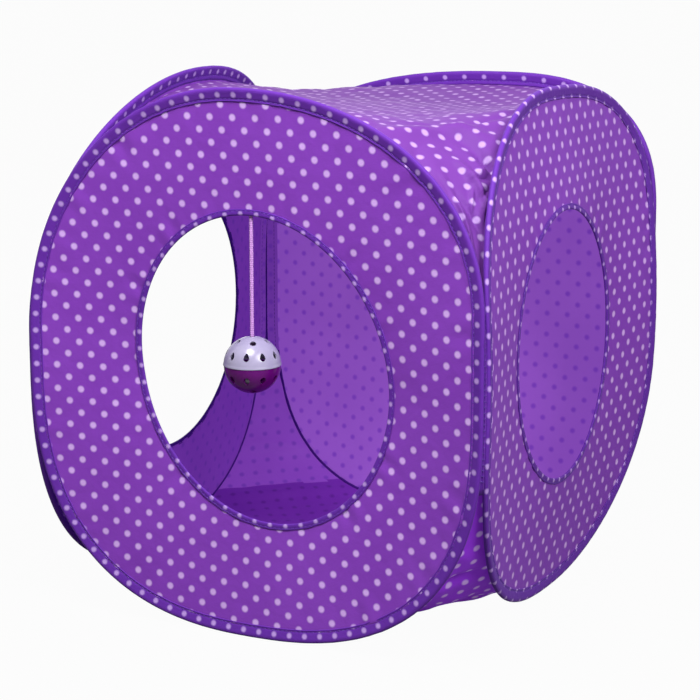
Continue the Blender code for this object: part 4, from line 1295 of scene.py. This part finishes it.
# How far the belt stands out, half its height, where the cups start in degrees, and belt plus sheet
BELT_OUT, BELT_HALF, CUP_START, BELT_AND_SHEET = 0.0003, 0.0005, 6, 0.0008
SLIT_SIZE, SLIT_DOWN = (0.0090, 0.0012, 0.0060), 0.0045
bell_profile = dome(BELL_RADIUS - BELT_OUT, -90, -CUP_START, 12)
bell_profile += [(BELL_RADIUS, -BELT_HALF), (BELL_RADIUS, BELT_HALF)]
bell_profile += dome(BELL_RADIUS - BELT_OUT, CUP_START, 90, 12)
bell_profile += dome(BELL_RADIUS - BELT_AND_SHEET, 90, -90, 20)
bell = spun("rattle_bell", [(max(r, 0.0), z) for r, z in bell_profile], BELL_CENTRE, steps=40)
bpy.ops.object.select_all(action="DESELECT")
bpy.ops.mesh.primitive_cube_add(size=1.0, location=BELL_CENTRE - Vector((0, 0, SLIT_DOWN)))
slit = bpy.context.object
slit.scale = SLIT_SIZE
pick(bell)
mouth = bell.modifiers.new("mouth", "BOOLEAN")
mouth.operation = "DIFFERENCE"
mouth.object = slit
bpy.context.view_layer.update()
bpy.ops.object.modifier_apply(modifier=mouth.name)
bpy.data.objects.remove(slit)
bpy.ops.object.shade_smooth_by_angle(angle=math.radians(40))
bell.data.materials.append(steel)
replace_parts(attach(bell, "ball"), "bell")
print("bell", round(2000 * BELL_RADIUS, 1), "mm wide,", len(bell.data.polygons), "faces")

# %% [markdown]
# The cord ends in an overhand knot inside the ball's top, which keeps it from slipping through the hole.
# The cord is pulled thinner there. It follows the line of a trefoil, whose three crossings are those of
# a drawn-up overhand knot.

# %% Knot
knot_low, knot_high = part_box("cord_knot")
KNOT_CENTRE = (knot_low + knot_high) / 2
KNOT_CORD_RADIUS = 0.0011
around = np.linspace(0, 2 * np.pi, 73)[:-1]
knot_reach = (knot_high.x - knot_low.x) / 2 - KNOT_CORD_RADIUS
knot_path = np.column_stack([(np.sin(around) + 2 * np.sin(2 * around)) / 3 * knot_reach,
                             (np.cos(around) - 2 * np.cos(2 * around)) / 3 * knot_reach,
                             -np.sin(3 * around) * KNOT_CORD_RADIUS]) + np.array(KNOT_CENTRE)
knot_curve = bpy.data.curves.new("cord_overhand_knot", "CURVE")
knot_curve.dimensions = "3D"
knot_curve.bevel_depth = KNOT_CORD_RADIUS
knot_curve.bevel_resolution = 4
knot_spline = knot_curve.splines.new("POLY")
knot_spline.points.add(len(knot_path) - 1)
knot_spline.points.foreach_set("co", np.column_stack([knot_path, np.ones(len(knot_path))]).reshape(-1))
knot_spline.use_cyclic_u = True
knot_curve.materials.append(cord_braid)
knot = bpy.data.objects.new("cord_overhand_knot", knot_curve)
bpy.context.scene.collection.objects.link(knot)
pick(knot)
bpy.ops.object.convert(target="MESH")
bpy.ops.object.shade_smooth()
knot = bpy.context.object
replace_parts(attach(knot, "cord"), "cord_knot")
print("knot", len(knot.data.polygons), "faces")

# %% [markdown]
# Two solids are plain enough to be shown as they are: the bell's pellet and the stitch that tacks the
# cord down. They only get the finish of the real thing in their material slots.

# %% Pellet and tack
for node, finish in (("bell_pellet", steel), ("cord_tack", thread)):
    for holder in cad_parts[node].material_slots:
        holder.material = finish
    print(node, "wears", [holder.material.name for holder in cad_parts[node].material_slots])

# %% [markdown]
# The area of one face of each side and of each top gore is printed. A side is cut to the outline of its
# loop. A gore is cut as long as the sewn edge of a loop's top or foot, and as deep as the way from there
# to the middle of the cover.


def half_area(piece):
    """The area of one face of a thickened sheet."""
    return sum(face.area for face in piece.data.polygons) / 2


print("side areas", {side: round(half_area(piece), 3) for side, piece in side_pieces.items()})
print("top gore areas", {side: round(half_area(piece), 3) for side, piece in top_gores.items()})

# %% [markdown]
# Last each piece of a side, and the side's two gores, gets a mesh of its own.

# %% Own meshes for the cloth
for side in QUARTERS:
    members = [side_pieces[side], tape_pieces[side], *wires[side]] + [p for s, p in stitch_rows if s == side]
    members += [hole_tapes[side]] if side in HOLES else []
    way, anchor = tuple(outwards(side)), tuple(plane_middle(side))
    for piece in members:
        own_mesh(piece)
    for piece in (top_gores[side], floor_gores[side]):
        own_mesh(piece)
    print(side, "flattens", len(members) + 2, "pieces")

# %% [markdown]
# The studio has four soft lamps. One is high in front of the cube and lights the front and its crest.
# One to the right fills the right side. A broad weak one overhead and a weaker one low behind lift the
# top cloth and the far loops.

# %% Lamps
def lamp(name, place, aim, size, watts):
    """A round soft lamp at a place, turned towards a point."""
    data = bpy.data.lights.new(name, "AREA")
    data.shape = "DISK"
    data.size = size
    data.energy = watts
    made = bpy.data.objects.new(name, data)
    made.location = place
    made.rotation_euler = (Vector(aim) - Vector(place)).to_track_quat("-Z", "Y").to_euler()
    bpy.context.scene.collection.objects.link(made)


lamp("front_softbox", (0.12, -0.66, 1.16), (0, 0, 0.34), 0.5, 14.5)
lamp("right_softbox", (1.05, -0.62, 1.00), (0.1, 0, 0.30), 0.7, 16.8)
lamp("overhead_softbox", (-0.30, 0.30, 1.9), (0, 0, 0.2), 1.2, 4.0)
lamp("back_softbox", (-0.60, 1.40, 0.42), (0, 0, 0.2), 0.8, 1.2)

# %% [markdown]
# The world is white where the camera sees it, directly, in a gloss or through something clear. It lights
# the object with much less than that, so that no pale surface is washed out.

# %% Sky
SKY_LIGHT = 0.24
world = bpy.data.worlds.new("white_studio")
bpy.context.scene.world = world
world.use_nodes = True
sky = world.node_tree
sky.nodes.clear()
path = add(sky, "ShaderNodeLightPath")
seen = add(sky, "ShaderNodeMath", {0: path.outputs["Is Camera Ray"], 1: path.outputs["Is Glossy Ray"]},
           operation="MAXIMUM")
seen = add(sky, "ShaderNodeMath", {0: seen.outputs[0], 1: path.outputs["Is Transmission Ray"]},
           operation="MAXIMUM")
level = add(sky, "ShaderNodeMapRange", {"Value": seen.outputs[0], "To Min": SKY_LIGHT, "To Max": 1.0})
backdrop = add(sky, "ShaderNodeBackground", {"Color": (1, 1, 1, 1), "Strength": level.outputs[0]})
add(sky, "ShaderNodeOutputWorld", {"Surface": backdrop.outputs[0]})
print("sky lights with", SKY_LIGHT)

# %% [markdown]
# The floor is matt paper. Most of what the camera sees of it is plain white, and the rest is the lit
# paper, so the object's soft shadow stays. Towards the object it is a mid grey, and throws little light
# up from below.

# %% Floor
FLOOR_SIZE = 120.0
# A little under the cube's foot, so that the two don't flicker
FLOOR_DOWN = 0.0002
PLAIN_WHITE_SHARE = 0.965
bpy.ops.object.select_all(action="DESELECT")
bpy.ops.mesh.primitive_plane_add(size=FLOOR_SIZE, location=(0, 0, -FLOOR_DOWN))
floor = bpy.context.object
floor.name = "studio_floor"
paper, paper_tree, paper_shader = material("white_paper_floor")
paper_shader.inputs["Base Color"].default_value = linear("#6C6C6C")
paper_shader.inputs["Roughness"].default_value = 0.9
bright = add(paper_tree, "ShaderNodeEmission", {"Color": (1, 1, 1, 1), "Strength": 1.0})
path = add(paper_tree, "ShaderNodeLightPath")
share = add(paper_tree, "ShaderNodeMath", {0: path.outputs["Is Camera Ray"], 1: PLAIN_WHITE_SHARE},
            operation="MULTIPLY")
blend = add(paper_tree, "ShaderNodeMixShader", {0: share.outputs[0], 1: paper_shader.outputs[0],
                                                2: bright.outputs[0]})
paper_tree.links.new(blend.outputs[0], paper_tree.nodes["Material Output"].inputs["Surface"])
floor.data.materials.append(paper)
bpy.context.scene.view_settings.view_transform = "Standard"
print("floor", floor.name, "of", paper.name)
